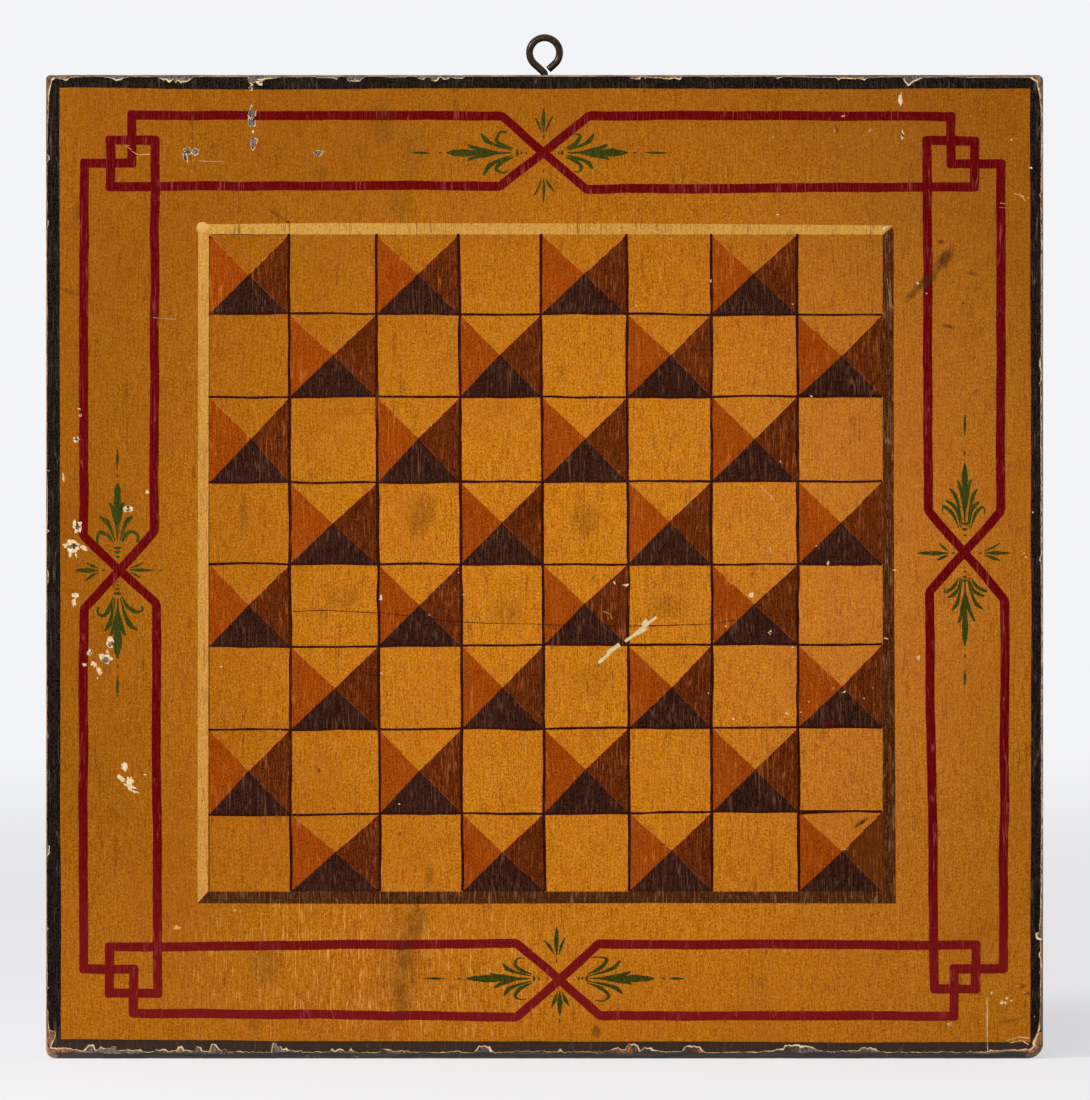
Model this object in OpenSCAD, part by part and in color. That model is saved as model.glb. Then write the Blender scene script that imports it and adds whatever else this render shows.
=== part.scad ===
// Painted checkerboard: three edge-glued boards, two battens on the back,
// and a screw eye in the top edge to hang it by.
// The panel stands on its bottom edge: X runs across it, Z up its grain,
// and -Y is the painted face. The origin is the middle of the bottom edge.

/* [Panel] */
// Width of the panel, across its three boards
panel_w = 450; // [440:1:480]
// Height of the panel, along the grain
panel_h = 444; // [434:1:470]
// Thickness of the boards
board_t = 19; // [16:0.5:25]
// Width of the narrow board at the left
left_board_w = 92; // [70:1:120]
// Width of the narrow board at the right
right_board_w = 63; // [58:1:90]
// Radius of the panel's corners, seen from the front
corner_r = 4; // [2.5:0.5:8]
// Radius of the rounded-over edges
arris_r = 1.6; // [0.8:0.1:2.4]

/* [Dowels] */
// Diameter of the dowels in the two glue joints
dowel_d = 8; // [6:0.5:10]
// Length of a dowel
dowel_l = 50; // [30:1:56]
// Height of the first dowel over the bottom edge, and of the last below the top
dowel_in = 60; // [40:1:75]
// Chamfer on a dowel's ends
dowel_chamfer = 1; // [0.5:0.1:1.5]
// Room beyond each end of a dowel
dowel_end_gap = 1; // [0.5:0.1:3]

/* [Battens] */
// Height of a batten, up the panel
batten_w = 45; // [35:1:60]
// Thickness of a batten
batten_t = 16; // [12:0.5:20]
// Distance from each side of the panel to a batten's end
batten_end_in = 15; // [10:0.5:18]
// Distance from the panel's top or bottom edge to a batten's centre line
batten_in = 95; // [90:1:130]
// Bevel round a batten's back face
batten_bevel = 3; // [1:0.5:5]

/* [Batten screws] */
// Diameter of a screw's shank and thread
screw_d = 4; // [3:0.1:5]
// Diameter of a screw's head
screw_head_d = 8; // [7:0.1:9]
// Depth that a screw reaches into a board
screw_bite = 12; // [8:0.5:14]
// Depth of a head below the batten's back face
screw_sink = 0.3; // [0.1:0.1:1]
// Pitch of the screws' thread
screw_pitch = 1.8; // [1.4:0.1:2.4]
// Width of the slot in a head
slot_w = 1; // [0.8:0.1:1.4]
// Depth of the slot in a head
slot_depth = 1.2; // [0.8:0.1:1.6]

/* [Screw eye] */
// Diameter of the eye's wire
wire_d = 3.3; // [2.8:0.1:3.6]
// Clear diameter inside the loop
eye_bore_d = 10.3; // [9.6:0.1:13]
// Straight wire that shows between the panel and the neck's bend
neck_gap = 0.4; // [0.2:0.1:2]
// Radius of the neck's bend, on the wire's centre line
neck_bend_r = 2.3; // [2:0.1:3.5]
// Gap between the wire's cut end and the neck
cut_gap = 0.5; // [0.2:0.1:2]
// Length of wire inside the panel
shank_l = 28; // [24:1:36]
// Length of the threaded stretch, without its point
thread_l = 16; // [10:1:18]
// Pitch of the eye's thread
thread_pitch = 2; // [1.6:0.1:2.4]
// Depth of the eye's thread
thread_depth = 0.5; // [0.3:0.05:0.6]
// Length of the gimlet point
point_l = 4; // [3:0.5:5]

/* [Painted face] */
// Thickness of the ground coat
ground_t = 0.3; // [0.2:0.05:0.5]
// Thickness of the colours over it
colour_t = 0.2; // [0.1:0.05:0.3]
// Width of the black border on the flat of the face
border_w = 3.8; // [2:0.1:6]
// Width of one square of the playing field
square_w = 38.1; // [34:0.1:39]
// Height of one square of the playing field
square_h = 37.2; // [34:0.1:39]
// Distance of the field's centre to the right of the panel's centre
field_right = 0.9; // [-2:0.1:2]
// Distance of the field's centre above the panel's centre
field_up = 1; // [-2:0.1:2]
// Width of the light and dark bands round the field
band_w = 5.5; // [4:0.1:7]
// Width of the lines between the squares
line_w = 1; // [0.6:0.1:1.6]
// Width of the red striping
stripe_w = 4; // [2.5:0.1:5]
// Distance from one stripe to the next in a corner knot
knot_step = 10.8; // [9:0.1:11]
// Place of the striping in its border: 0 against the black edge, 1 against the bands
stripe_place = 0.395; // [0.2:0.005:0.8]
// Half the length of a crossing, along its side of the panel
crossing_half = 18.8; // [16:0.1:22]
// Scale of the green sprigs at the crossings
sprig_scale = 1; // [0.8:0.05:1.05]

/* [Hidden] */

// Colours of the wood, the iron and the paints
pine = "#b98d5a";
old_pine = "#9b7348";
beech = "#d2b386";
iron = "#3a3633";
ochre = "#b06a14";
tawny = "#9a4509";
umber = "#5f2a0d";
dark_umber = "#35190f";
straw = "#c9963f";
brown = "#512a12";
red = "#6d1210";
green = "#3c4a12";
black = "#241c17";

// Squares along a side of the field, radial room round what sits in a hole, points in
// a rounded corner, and how far a cut reaches past what it cuts
squares = 8;
fit_gap = 0.05;
arc_steps = 6;
past = 1;

face_y = -board_t / 2;
back_y = board_t / 2;

left_joint_x = -panel_w / 2 + left_board_w;
right_joint_x = panel_w / 2 - right_board_w;
dowel_zs = [dowel_in, panel_h / 2, panel_h - dowel_in];

batten_l = panel_w - 2 * batten_end_in;
centre_board_w = panel_w - left_board_w - right_board_w;
screw_xs = [
    -panel_w / 2 + left_board_w / 2,
    left_joint_x + centre_board_w / 4,
    right_joint_x - centre_board_w / 4,
    panel_w / 2 - right_board_w / 2];
screw_smooth_l = batten_t - screw_sink;
screw_l = screw_smooth_l + screw_bite;
screw_rim = 0.4;
screw_thread_depth = 0.5;
screw_point_l = 3;

// The wire runs straight off the loop on both sides of its lowest point, at the same
// slope: at the left down to the neck's bend, at the right to its cut end. Where a bend
// meets a straight the wire is slightly swollen, and their ends stop short of each other
// inside the swelling.
arm_a = 42;
seam = 0.1;
swelling_r = 0.05;
wire_r = wire_d / 2;
loop_r = eye_bore_d / 2 + wire_r;
arms_meet_z = -loop_r / cos(arm_a);
arm_l = loop_r * tan(arm_a);
neck_turn = 90 - arm_a;
neck_tangent = neck_bend_r * tan(neck_turn / 2);
neck_drop = neck_tangent - arms_meet_z;
cut_arm_l = arm_l - (wire_r * (1 + abs(cos(2 * arm_a))) + cut_gap) / sin(2 * arm_a);
eye_z = panel_h + neck_gap + neck_drop;

face_w = panel_w - 2 * arris_r;
face_h = panel_h - 2 * arris_r;
face_corner_r = max(corner_r - arris_r, 0.5);
field_w = squares * square_w;
field_h = squares * square_h;
field_x = field_right - field_w / 2;
field_z = panel_h / 2 + field_up - field_h / 2;

// The striping keeps its size, and lies in the room between the black edge and the bands.
// stripe_x and stripe_z are the outer stripe's distances from the panel's edges.
knot_steps = 3;
striping_w = knot_steps * knot_step + stripe_w;
border_in = arris_r + border_w;
room_x = (panel_w - field_w) / 2 - band_w - border_in - striping_w;
room_z = (panel_h - field_h) / 2 - band_w - border_in - striping_w;
stripe_x = border_in + stripe_place * room_x + stripe_w / 2;
stripe_z = border_in + stripe_place * room_z + stripe_w / 2;
middle_x = stripe_x + knot_steps * knot_step / 2;
middle_z = stripe_z + knot_steps * knot_step / 2;

// Slope of a crossing's arms from the side that it lies along
crossing_a = atan(knot_steps * knot_step / 2 / crossing_half);

// How far each crossing was painted off the middle of its side
top_crossing = [0, 0];
left_crossing = [0, -2.3];
bottom_crossing = [7.2, 0];
right_crossing = [0, 5.5];
top_at = [0, panel_h - middle_z] + top_crossing;
bottom_at = [0, middle_z] + bottom_crossing;
left_at = [-panel_w / 2 + middle_x, panel_h / 2] + left_crossing;
right_at = [panel_w / 2 - middle_x, panel_h / 2] + right_crossing;

// Outlines

// Corner points of a rectangle w by h with round corners, centred
function round_rectangle(w, h, r) = [
    for (corner = [0:3]) for (i = [0:arc_steps])
        let (a = 90 * corner + 90 * i / arc_steps,
             side_x = (corner == 0 || corner == 3) ? 1 : -1,
             side_y = corner < 2 ? 1 : -1)
        [side_x * (w / 2 - r) + r * cos(a), side_y * (h / 2 - r) + r * sin(a)]];

// Corner points of a rectangle w by h with its corners cut, centred
function cut_rectangle(w, h, c) = [
    [w / 2, h / 2 - c], [w / 2 - c, h / 2], [c - w / 2, h / 2], [-w / 2, h / 2 - c],
    [-w / 2, c - h / 2], [c - w / 2, -h / 2], [w / 2 - c, -h / 2], [w / 2, c - h / 2]];

// The whole panel, before it is parted into boards
module panel_blank() {
    translate([0, 0, panel_h / 2]) intersection() {
        rotate([90, 0, 0]) linear_extrude(board_t, center = true)
            polygon(round_rectangle(panel_w, panel_h, corner_r));
        linear_extrude(panel_h, center = true)
            polygon(round_rectangle(panel_w, board_t, arris_r));
        rotate([90, 0, 90]) linear_extrude(panel_w, center = true)
            polygon(round_rectangle(board_t, panel_h, arris_r));
    }
}

// The stretch of the panel from x0 to x1
module board_blank(x0, x1) {
    intersection() {
        panel_blank();
        translate([x0, -board_t, -past]) cube([x1 - x0, 2 * board_t, panel_h + 2 * past]);
    }
}

module dowel_holes(joint_x) {
    hole_l = dowel_l + 2 * dowel_end_gap;
    for (z = dowel_zs)
        translate([joint_x - hole_l / 2, 0, z]) rotate([0, 90, 0])
            cylinder(h = hole_l, d = dowel_d + 2 * fit_gap, $fn = 48);
}

// Holes in a board for the screws through both battens, at the given places
module screw_pilots(xs) {
    for (x = xs, z = [batten_in, panel_h - batten_in])
        translate([x, back_y + past, z]) rotate([90, 0, 0])
            cylinder(h = screw_bite + 2 * past, d = screw_d + 2 * fit_gap, $fn = 32);
}

module left_board() {
    color(pine) difference() {
        board_blank(-panel_w / 2 - past, left_joint_x);
        dowel_holes(left_joint_x);
        screw_pilots([screw_xs[0]]);
    }
}

module centre_board() {
    color(pine) difference() {
        board_blank(left_joint_x, right_joint_x);
        dowel_holes(left_joint_x);
        dowel_holes(right_joint_x);
        screw_pilots([screw_xs[1], screw_xs[2]]);
        translate([0, 0, panel_h - shank_l - past])
            cylinder(h = shank_l + 2 * past, d = wire_d + 2 * fit_gap, $fn = 48);
    }
}

module right_board() {
    color(pine) difference() {
        board_blank(right_joint_x, panel_w / 2 + past);
        dowel_holes(right_joint_x);
        screw_pilots([screw_xs[3]]);
    }
}

module dowel(joint_x, z) {
    half = dowel_l / 2;
    r = dowel_d / 2;
    color(beech) translate([joint_x, 0, z]) rotate([0, 90, 0]) rotate_extrude($fn = 48)
        polygon([[0, -half], [r - dowel_chamfer, -half], [r, dowel_chamfer - half],
                 [r, half - dowel_chamfer], [r - dowel_chamfer, half], [0, half]]);
}

// Space for a screw's head and shank, from the batten's back face inward
module screw_clearance() {
    head_r = screw_head_d / 2 + fit_gap;
    shank_r = screw_d / 2 + fit_gap;
    rotate_extrude($fn = 48)
        polygon([[0, past], [head_r, past], [head_r, -screw_sink - screw_rim],
                 [shank_r, -screw_sink - screw_rim - head_r + shank_r],
                 [shank_r, -batten_t - past], [0, -batten_t - past]]);
}

module batten(z) {
    color(old_pine) difference() {
        translate([0, back_y, z]) intersection() {
            linear_extrude(batten_w, center = true) intersection() {
                polygon(cut_rectangle(batten_l, 2 * batten_t, batten_bevel));
                translate([-panel_w / 2, 0]) square([panel_w, batten_t + past]);
            }
            rotate([90, 0, 90]) linear_extrude(batten_l + 2 * past, center = true)
                polygon(cut_rectangle(2 * batten_t, batten_w, batten_bevel));
        }
        for (x = screw_xs)
            translate([x, back_y + batten_t, z]) rotate([-90, 0, 0]) screw_clearance();
    }
}

// A slotted countersunk screw, its head up and the middle of the head at the origin
module slotted_screw() {
    head_r = screw_head_d / 2;
    r = screw_d / 2;
    core_r = r - screw_thread_depth;
    turns = floor((screw_l - screw_smooth_l - screw_point_l) / screw_pitch);
    thread = [for (i = [0:turns - 1]) each [
        [core_r, -screw_smooth_l - (i + 0.2) * screw_pitch],
        [r, -screw_smooth_l - (i + 0.6) * screw_pitch],
        [core_r, -screw_smooth_l - (i + 1) * screw_pitch]]];
    difference() {
        rotate_extrude($fn = 32) polygon(concat(
            [[0, 0], [head_r, 0], [head_r, -screw_rim], [r, -screw_rim - head_r + r],
             [r, -screw_smooth_l]],
            thread,
            [[core_r, screw_point_l - screw_l], [0, -screw_l]]));
        translate([-head_r - past, -slot_w / 2, -slot_depth])
            cube([2 * (head_r + past), slot_w, slot_depth + past]);
    }
}

// The slots stand at a different turn on each screw
module batten_screw(x, z, turn) {
    color(iron) translate([x, back_y + batten_t - screw_sink, z])
        rotate([-90, 0, 0]) rotate([0, 0, turn]) slotted_screw();
}

// A straight of the wire, with a swelling at its start and none or one at its end
module wire(length, end_swellings) {
    translate([0, 0, seam])
        cylinder(h = length - (1 + end_swellings) * seam, r = wire_r, $fn = 32);
}

// A bend of the wire in the XZ plane, round its own centre
module wire_bend(bend_r, from_a, to_a) {
    seam_a = seam / bend_r * 180 / PI;
    rotate([90, 0, 0]) rotate([0, 0, from_a + seam_a])
        rotate_extrude(angle = to_a - from_a - 2 * seam_a, $fn = 64)
            translate([bend_r, 0]) circle(r = wire_r, $fn = 32);
}

module swelling() {
    sphere(r = wire_r + swelling_r, $fn = 48);
}

// The straight shank below the neck's bend: plain wire, thread and gimlet point
module eye_shank() {
    minor_r = wire_r - thread_depth;
    end_z = -neck_gap - shank_l;
    top_z = end_z + point_l + thread_l;
    turns = floor(thread_l / thread_pitch);
    thread = [for (i = [0:turns - 1]) each [
        [minor_r, top_z - (i + 0.2) * thread_pitch],
        [wire_r, top_z - (i + 0.6) * thread_pitch],
        [minor_r, top_z - (i + 1) * thread_pitch]]];
    rotate_extrude($fn = 32)
        polygon(concat([[0, -seam], [wire_r, -seam], [wire_r, top_z]], thread,
                       [[minor_r, end_z + point_l], [0, end_z]]));
}

module screw_eye() {
    color(iron) translate([0, 0, eye_z]) {
        wire_bend(loop_r, arm_a - 90, 270 - arm_a);
        for (side = [0, 1]) mirror([side, 0, 0])
            translate([loop_r * sin(arm_a), 0, -loop_r * cos(arm_a)]) rotate([0, 270 - arm_a, 0]) {
                swelling();
                if (side == 0) wire(cut_arm_l, 0);
                else {
                    wire(arm_l - neck_tangent, 1);
                    translate([0, 0, arm_l - neck_tangent]) swelling();
                }
            }
        translate([-neck_bend_r, 0, -neck_drop]) wire_bend(neck_bend_r, 0, neck_turn);
        translate([0, 0, -neck_drop]) {
            swelling();
            eye_shank();
        }
    }
}

// Lays a flat outline on the face, with its back at the given depth of paint
module on_face(depth, t) {
    translate([0, face_y - depth, 0]) rotate([90, 0, 0]) linear_extrude(t) children();
}

module face_outline() {
    translate([0, panel_h / 2]) polygon(round_rectangle(face_w, face_h, face_corner_r));
}

module ground_coat() {
    color(ochre) on_face(0, ground_t) face_outline();
}

module black_border() {
    inner_w = face_w - 2 * border_w;
    inner_h = face_h - 2 * border_w;
    color(black) on_face(ground_t, colour_t) difference() {
        face_outline();
        translate([-inner_w / 2, panel_h / 2 - inner_h / 2]) square([inner_w, inner_h]);
    }
}

// Left, right, bottom and top of a square's paint, clear of the lines round it
function cell(column, row) =
    let (half = line_w / 2,
         last = squares - 1,
         x = field_x + column * square_w,
         z = field_z + row * square_h)
    [x + (column == 0 ? 0 : half), x + square_w - (column == last ? 0 : half),
     z + (row == 0 ? 0 : half), z + square_h - (row == last ? 0 : half)];

// One facet of every painted pyramid: 0 is its left, 1 its right and 2 its lower one
module facets(which) {
    for (column = [0:squares - 1], row = [0:squares - 1])
        if ((column + row) % 2 == 1) {
            c = cell(column, row);
            peak = [(c[0] + c[1]) / 2, (c[2] + c[3]) / 2];
            lower_left = [c[0], c[2]];
            lower_right = [c[1], c[2]];
            upper_left = [c[0], c[3]];
            upper_right = [c[1], c[3]];
            polygon(which == 0 ? [lower_left, peak, upper_left]
                  : which == 1 ? [lower_right, upper_right, peak]
                  : [lower_left, lower_right, peak]);
        }
}

module left_facets() {
    color(tawny) on_face(ground_t, colour_t) facets(0);
}

module right_facets() {
    color(umber) on_face(ground_t, colour_t) facets(1);
}

module lower_facets() {
    color(dark_umber) on_face(ground_t, colour_t) facets(2);
}

module square_lines() {
    color(dark_umber) on_face(ground_t, colour_t) {
        for (i = [1:squares - 1]) {
            translate([field_x + i * square_w - line_w / 2, field_z]) square([line_w, field_h]);
            translate([field_x, field_z + i * square_h - line_w / 2]) square([field_w, line_w]);
        }
    }
}

// Half of the painted band round the field, mitred at two corners
module band_half(first_x, first_z, corner_x, corner_z, last_x, last_z) {
    out_x = sign(corner_x - field_x - field_w / 2) * band_w;
    out_z = sign(corner_z - field_z - field_h / 2) * band_w;
    polygon([[first_x, first_z], [corner_x, corner_z], [last_x, last_z],
             [last_x - out_x, last_z + out_z], [corner_x + out_x, corner_z + out_z],
             [first_x + out_x, first_z - out_z]]);
}

module light_band() {
    color(straw) on_face(ground_t, colour_t)
        band_half(field_x, field_z, field_x, field_z + field_h, field_x + field_w, field_z + field_h);
}

module dark_band() {
    color(brown) on_face(ground_t, colour_t)
        band_half(field_x + field_w, field_z + field_h, field_x + field_w, field_z, field_x, field_z);
}

// Outline of a line of width w through the points, with mitred bends
function unit(v) = v / norm(v);
function side_of(v) = [-v[1], v[0]];
function mitre(points, i, w) =
    let (last = len(points) - 1,
         before = unit(points[max(i, 1)] - points[max(i, 1) - 1]),
         after = unit(points[min(i, last - 1) + 1] - points[min(i, last - 1)]),
         across = unit(side_of(before) + side_of(after)))
    across * w / 2 / (across * side_of(before));
function stroke(points, w) = concat(
    [for (i = [0:len(points) - 1]) points[i] + mitre(points, i, w)],
    [for (i = [len(points) - 1:-1:0]) points[i] - mitre(points, i, w)]);

// The striping of one corner. side_x and side_z say which: -1 or 1, from the panel's middle.
// a is the crossing on the top or bottom side, and b the one on the left or right side.
module corner_striping(side_x, side_z, a, b) {
    line_x = [for (i = [0:knot_steps]) side_x * (panel_w / 2 - stripe_x - i * knot_step)];
    line_z = [for (i = [0:knot_steps])
        panel_h / 2 + side_z * (panel_h / 2 - stripe_z - i * knot_step)];
    bend_x = a[0] + side_x * crossing_half;
    bend_z = b[1] + side_z * crossing_half;
    over = stripe_w / 2;
    polygon(stroke([a, [bend_x, line_z[0]], [line_x[2], line_z[0]], [line_x[2], line_z[2]],
                    [line_x[0], line_z[2]], [line_x[0], bend_z], b], stripe_w));
    polygon(stroke([a, [bend_x, line_z[3]], [line_x[1], line_z[3]], [line_x[1], line_z[1]],
                    [line_x[3] - side_x * over, line_z[1]]], stripe_w));
    polygon(stroke([[line_x[3], line_z[1]], [line_x[3], bend_z], b], stripe_w));
}

module red_striping() {
    color(red) on_face(ground_t, colour_t) {
        corner_striping(-1, 1, top_at, left_at);
        corner_striping(1, 1, top_at, right_at);
        corner_striping(-1, -1, bottom_at, left_at);
        corner_striping(1, -1, bottom_at, right_at);
    }
}

// A leaf from one point to another, w wide, that bows sideways by bow
leaf_steps = 6;
function leaf(from, to, w, bow = 0) =
    let (along = to - from, across = unit(side_of(along)),
         spine = [for (i = [0:leaf_steps])
             let (t = i / leaf_steps) from + t * along + 4 * bow * t * (1 - t) * across],
         half = [for (i = [0:leaf_steps]) w / 2 * sin(180 * pow(i / leaf_steps, 0.8))])
    concat([for (i = [0:leaf_steps]) spine[i] + half[i] * across],
           [for (i = [leaf_steps - 1:-1:1]) spine[i] - half[i] * across]);

// A large sprig that grows along +X out of the corner between two arms of a crossing: a
// barbed blade, two side leaves, two hooked ones, a collar's strokes, a dot and a dash
module large_sprig() {
    polygon(leaf([11.5, 0], [39.5, 0], 4));
    for (side = [-1, 1]) {
        polygon(leaf([15, side * 0.8], [28, side * 4], 2.4, side * -0.8));
        polygon(leaf([11.5, side * 1.8], [23.5, side * 8.6], 2.2, side * -1.4));
        polygon(leaf([10.5, side * 2.6], [17, side * 6.8], 1.5, side * -1));
        polygon(leaf([16.8, side * 6.2], [12, side * 9], 1.1, side * -1));
    }
    for (i = [0:2]) {
        half = 0.8 + 0.65 * i;
        x = 3.8 + 1.9 * i;
        polygon(leaf([x, -half], [x, half], 1));
    }
    polygon(leaf([41.3, 0], [42.9, 0], 0.9));
    polygon(leaf([45.5, 0], [55, 0], 1));
}

// A small three-leaved sprig that grows along +X out of the same kind of corner
module small_sprig() {
    polygon(leaf([5.8, 0], [16.4, 0], 2));
    for (side = [-1, 1]) polygon(leaf([6.2, side * 1.4], [11.9, side * 4], 1.4, side * -0.6));
    polygon(leaf([3, 0], [4.8, 0], 0.8));
}

// The sprigs are drawn for stripes that leave a gap of drawn_gap between them
drawn_gap = 28.4;
module crossing_sprigs(at, turn) {
    k = sprig_scale * (striping_w - 2 * stripe_w) / drawn_gap;
    translate(at) rotate(turn) for (half = [0, 180]) rotate(half) {
        translate([stripe_w / 2 / sin(crossing_a), 0]) scale([k, k]) large_sprig();
        rotate(90) translate([stripe_w / 2 / cos(crossing_a), 0]) scale([k, k]) small_sprig();
    }
}

module green_sprigs() {
    color(green) on_face(ground_t, colour_t) {
        crossing_sprigs(top_at, 0);
        crossing_sprigs(bottom_at, 0);
        crossing_sprigs(left_at, 90);
        crossing_sprigs(right_at, 90);
    }
}

left_board();
centre_board();
right_board();
for (i = [1:3]) {
    dowel(left_joint_x, dowel_zs[i - 1]);
    dowel(right_joint_x, dowel_zs[i - 1]);
}
batten(panel_h - batten_in);  // upper_batten
batten(batten_in);  // lower_batten
for (i = [1:4]) {
    batten_screw(screw_xs[i - 1], panel_h - batten_in, 35 * i);
    batten_screw(screw_xs[i - 1], batten_in, 50 * i + 20);
}
screw_eye();
ground_coat();
left_facets();
right_facets();
lower_facets();
square_lines();
light_band();
dark_band();
red_striping();
green_sprigs();
black_border();
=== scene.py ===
import math
import random

import bpy
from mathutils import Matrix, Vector, noise
from mathutils.geometry import delaunay_2d_cdt


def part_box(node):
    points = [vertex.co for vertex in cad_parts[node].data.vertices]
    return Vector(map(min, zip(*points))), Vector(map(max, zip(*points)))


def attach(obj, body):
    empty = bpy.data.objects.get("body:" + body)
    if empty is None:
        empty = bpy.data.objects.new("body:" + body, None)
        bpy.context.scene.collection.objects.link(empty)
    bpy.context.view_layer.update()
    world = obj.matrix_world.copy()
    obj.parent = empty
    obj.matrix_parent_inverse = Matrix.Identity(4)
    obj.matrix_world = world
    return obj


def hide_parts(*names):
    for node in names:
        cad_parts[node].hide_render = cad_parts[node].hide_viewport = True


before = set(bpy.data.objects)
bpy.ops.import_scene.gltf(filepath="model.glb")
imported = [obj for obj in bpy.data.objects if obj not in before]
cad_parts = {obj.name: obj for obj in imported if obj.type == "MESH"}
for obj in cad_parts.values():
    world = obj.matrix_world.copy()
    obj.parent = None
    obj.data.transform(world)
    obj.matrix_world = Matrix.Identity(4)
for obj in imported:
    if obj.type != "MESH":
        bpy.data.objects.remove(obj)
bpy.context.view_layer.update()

# Shapes are worked out in millimetres, in the board's own frame: x to the right of its
# middle, z above its bottom edge, y back from the middle of its thickness. Meshes are in
# metres.
MM = 0.001


def node_box(name):
    low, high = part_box(name)
    return low / MM, high / MM


HALF_W = node_box("right_board")[1].x
TOP = node_box("centre_board")[1].z
LEFT_JOINT = node_box("left_board")[1].x
RIGHT_JOINT = node_box("right_board")[0].x
WOOD_Y = node_box("left_board")[0].y
BACK_Y = node_box("left_board")[1].y
PAINT_Y = node_box("ground_coat")[0].y
# The front of the priming, and of the colours on the ground coat
PRIMING_Y = PAINT_Y + 0.14
COLOUR_Y = PAINT_Y - 0.06
LINE_Y = PAINT_Y - 0.09
STRIPE_Y = PAINT_Y - 0.1

# Points closer than this are one, and triangles with less than half this area are left out
SAME_POINT = 1e-5
NO_AREA = 1e-7


# Hand-made shapes

def wobble(s, size, seed):
    """A smooth random value of about -0.6 to 0.6 that changes over the length size."""
    return noise.noise(Vector((s / size, seed * 7.31 + 0.5, 0.37)))


def lerp(a, b, t):
    return a + (b - a) * t


def stroke(a, b, w, seed, ext_a=0.0, ext_b=0.0, sway=0.22, uneven=0.09, round_r=0.7, step=2.2):
    """Outline of a brush stroke from a to b, w wide, with slightly rounded corners."""
    a, b = Vector(a), Vector(b)
    along = (b - a).normalized()
    across = Vector((-along.y, along.x))
    start, length = a - along * ext_a, (b - a).length + ext_a + ext_b
    count = max(3, round(length / step))
    stops = [lerp(round_r, length - round_r, i / count) for i in range(count + 1)]
    stops = [0, round_r * 0.3] + stops + [length - round_r * 0.3, length]
    last = len(stops) - 1
    narrow = {0: 0.8 * round_r, 1: 0.25 * round_r, last - 1: 0.25 * round_r, last: 0.8 * round_r}
    sides = ([], [])
    for i, s in enumerate(stops):
        middle = start + along * s + across * sway * wobble(s, 24, seed)
        for k, side in enumerate((1, -1)):
            half = w / 2 * (1 + uneven * wobble(s, 7, seed + 0.3 + k)) - narrow.get(i, 0)
            sides[k].append(middle + across * side * max(half, 0.03))
    return sides[0] + sides[1][::-1]


def blob(x, z, w, h, seed, turn=0.0, rough=0.35, points=18):
    """An irregular round outline, such as a chip's."""
    c, s = math.cos(math.radians(turn)), math.sin(math.radians(turn))
    outline = []
    for i in range(points):
        a = 2 * math.pi * i / points
        jag = noise.noise(Vector((math.cos(a) * 1.7, math.sin(a) * 1.7, seed * 3.7)))
        fine = noise.noise(Vector((math.cos(a) * 5.1, math.sin(a) * 5.1, seed * 5.9)))
        r = 1 + rough * (1.4 * jag + 0.9 * fine)
        u, v = w / 2 * r * math.cos(a), h / 2 * r * math.sin(a)
        outline.append(Vector((x + u * c - v * s, z + u * s + v * c)))
    return outline


def brush(points, widths, seed=0.0, steps=5):
    """Outline of a brush mark along a smooth path, with its width at each point."""
    points = [Vector(p) for p in points]
    path = []
    for i in range(len(points) - 1):
        a, b = points[max(i - 1, 0)], points[i]
        c, d = points[i + 1], points[min(i + 2, len(points) - 1)]
        for k in range(steps):
            t = k / steps
            bend = (2 * b + (c - a) * t + (2 * a - 5 * b + 4 * c - d) * t ** 2
                    + (3 * b - a - 3 * c + d) * t ** 3) / 2
            path.append((bend, lerp(widths[i], widths[i + 1], t * t * (3 - 2 * t))))
    path.append((points[-1], widths[-1]))
    sides = ([], [])
    for i, (middle, w) in enumerate(path):
        along = (path[min(i + 1, len(path) - 1)][0] - path[max(i - 1, 0)][0]).normalized()
        across = Vector((-along.y, along.x))
        half = w / 2 * (1 + 0.2 * wobble(i, 2.3, seed))
        sides[0].append(middle + across * half)
        sides[1].append(middle - across * half)
    return sides[0] + sides[1][::-1]


def direction(a):
    return Vector((math.cos(a), math.sin(a)))


def anticlockwise(outline):
    points = [Vector(p) for p in outline]
    area = sum(p.cross(q) for p, q in zip(points, points[1:] + points[:1]))
    return points if area > 0 else points[::-1]


def filled(points, faces):
    """Triangles that fill the faces: corners, triangles, and the points and faces they are from."""
    corners, _, triangles, sources, _, origins = delaunay_2d_cdt(points, [], faces, 1, SAME_POINT)
    return corners, triangles, sources, origins


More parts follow.
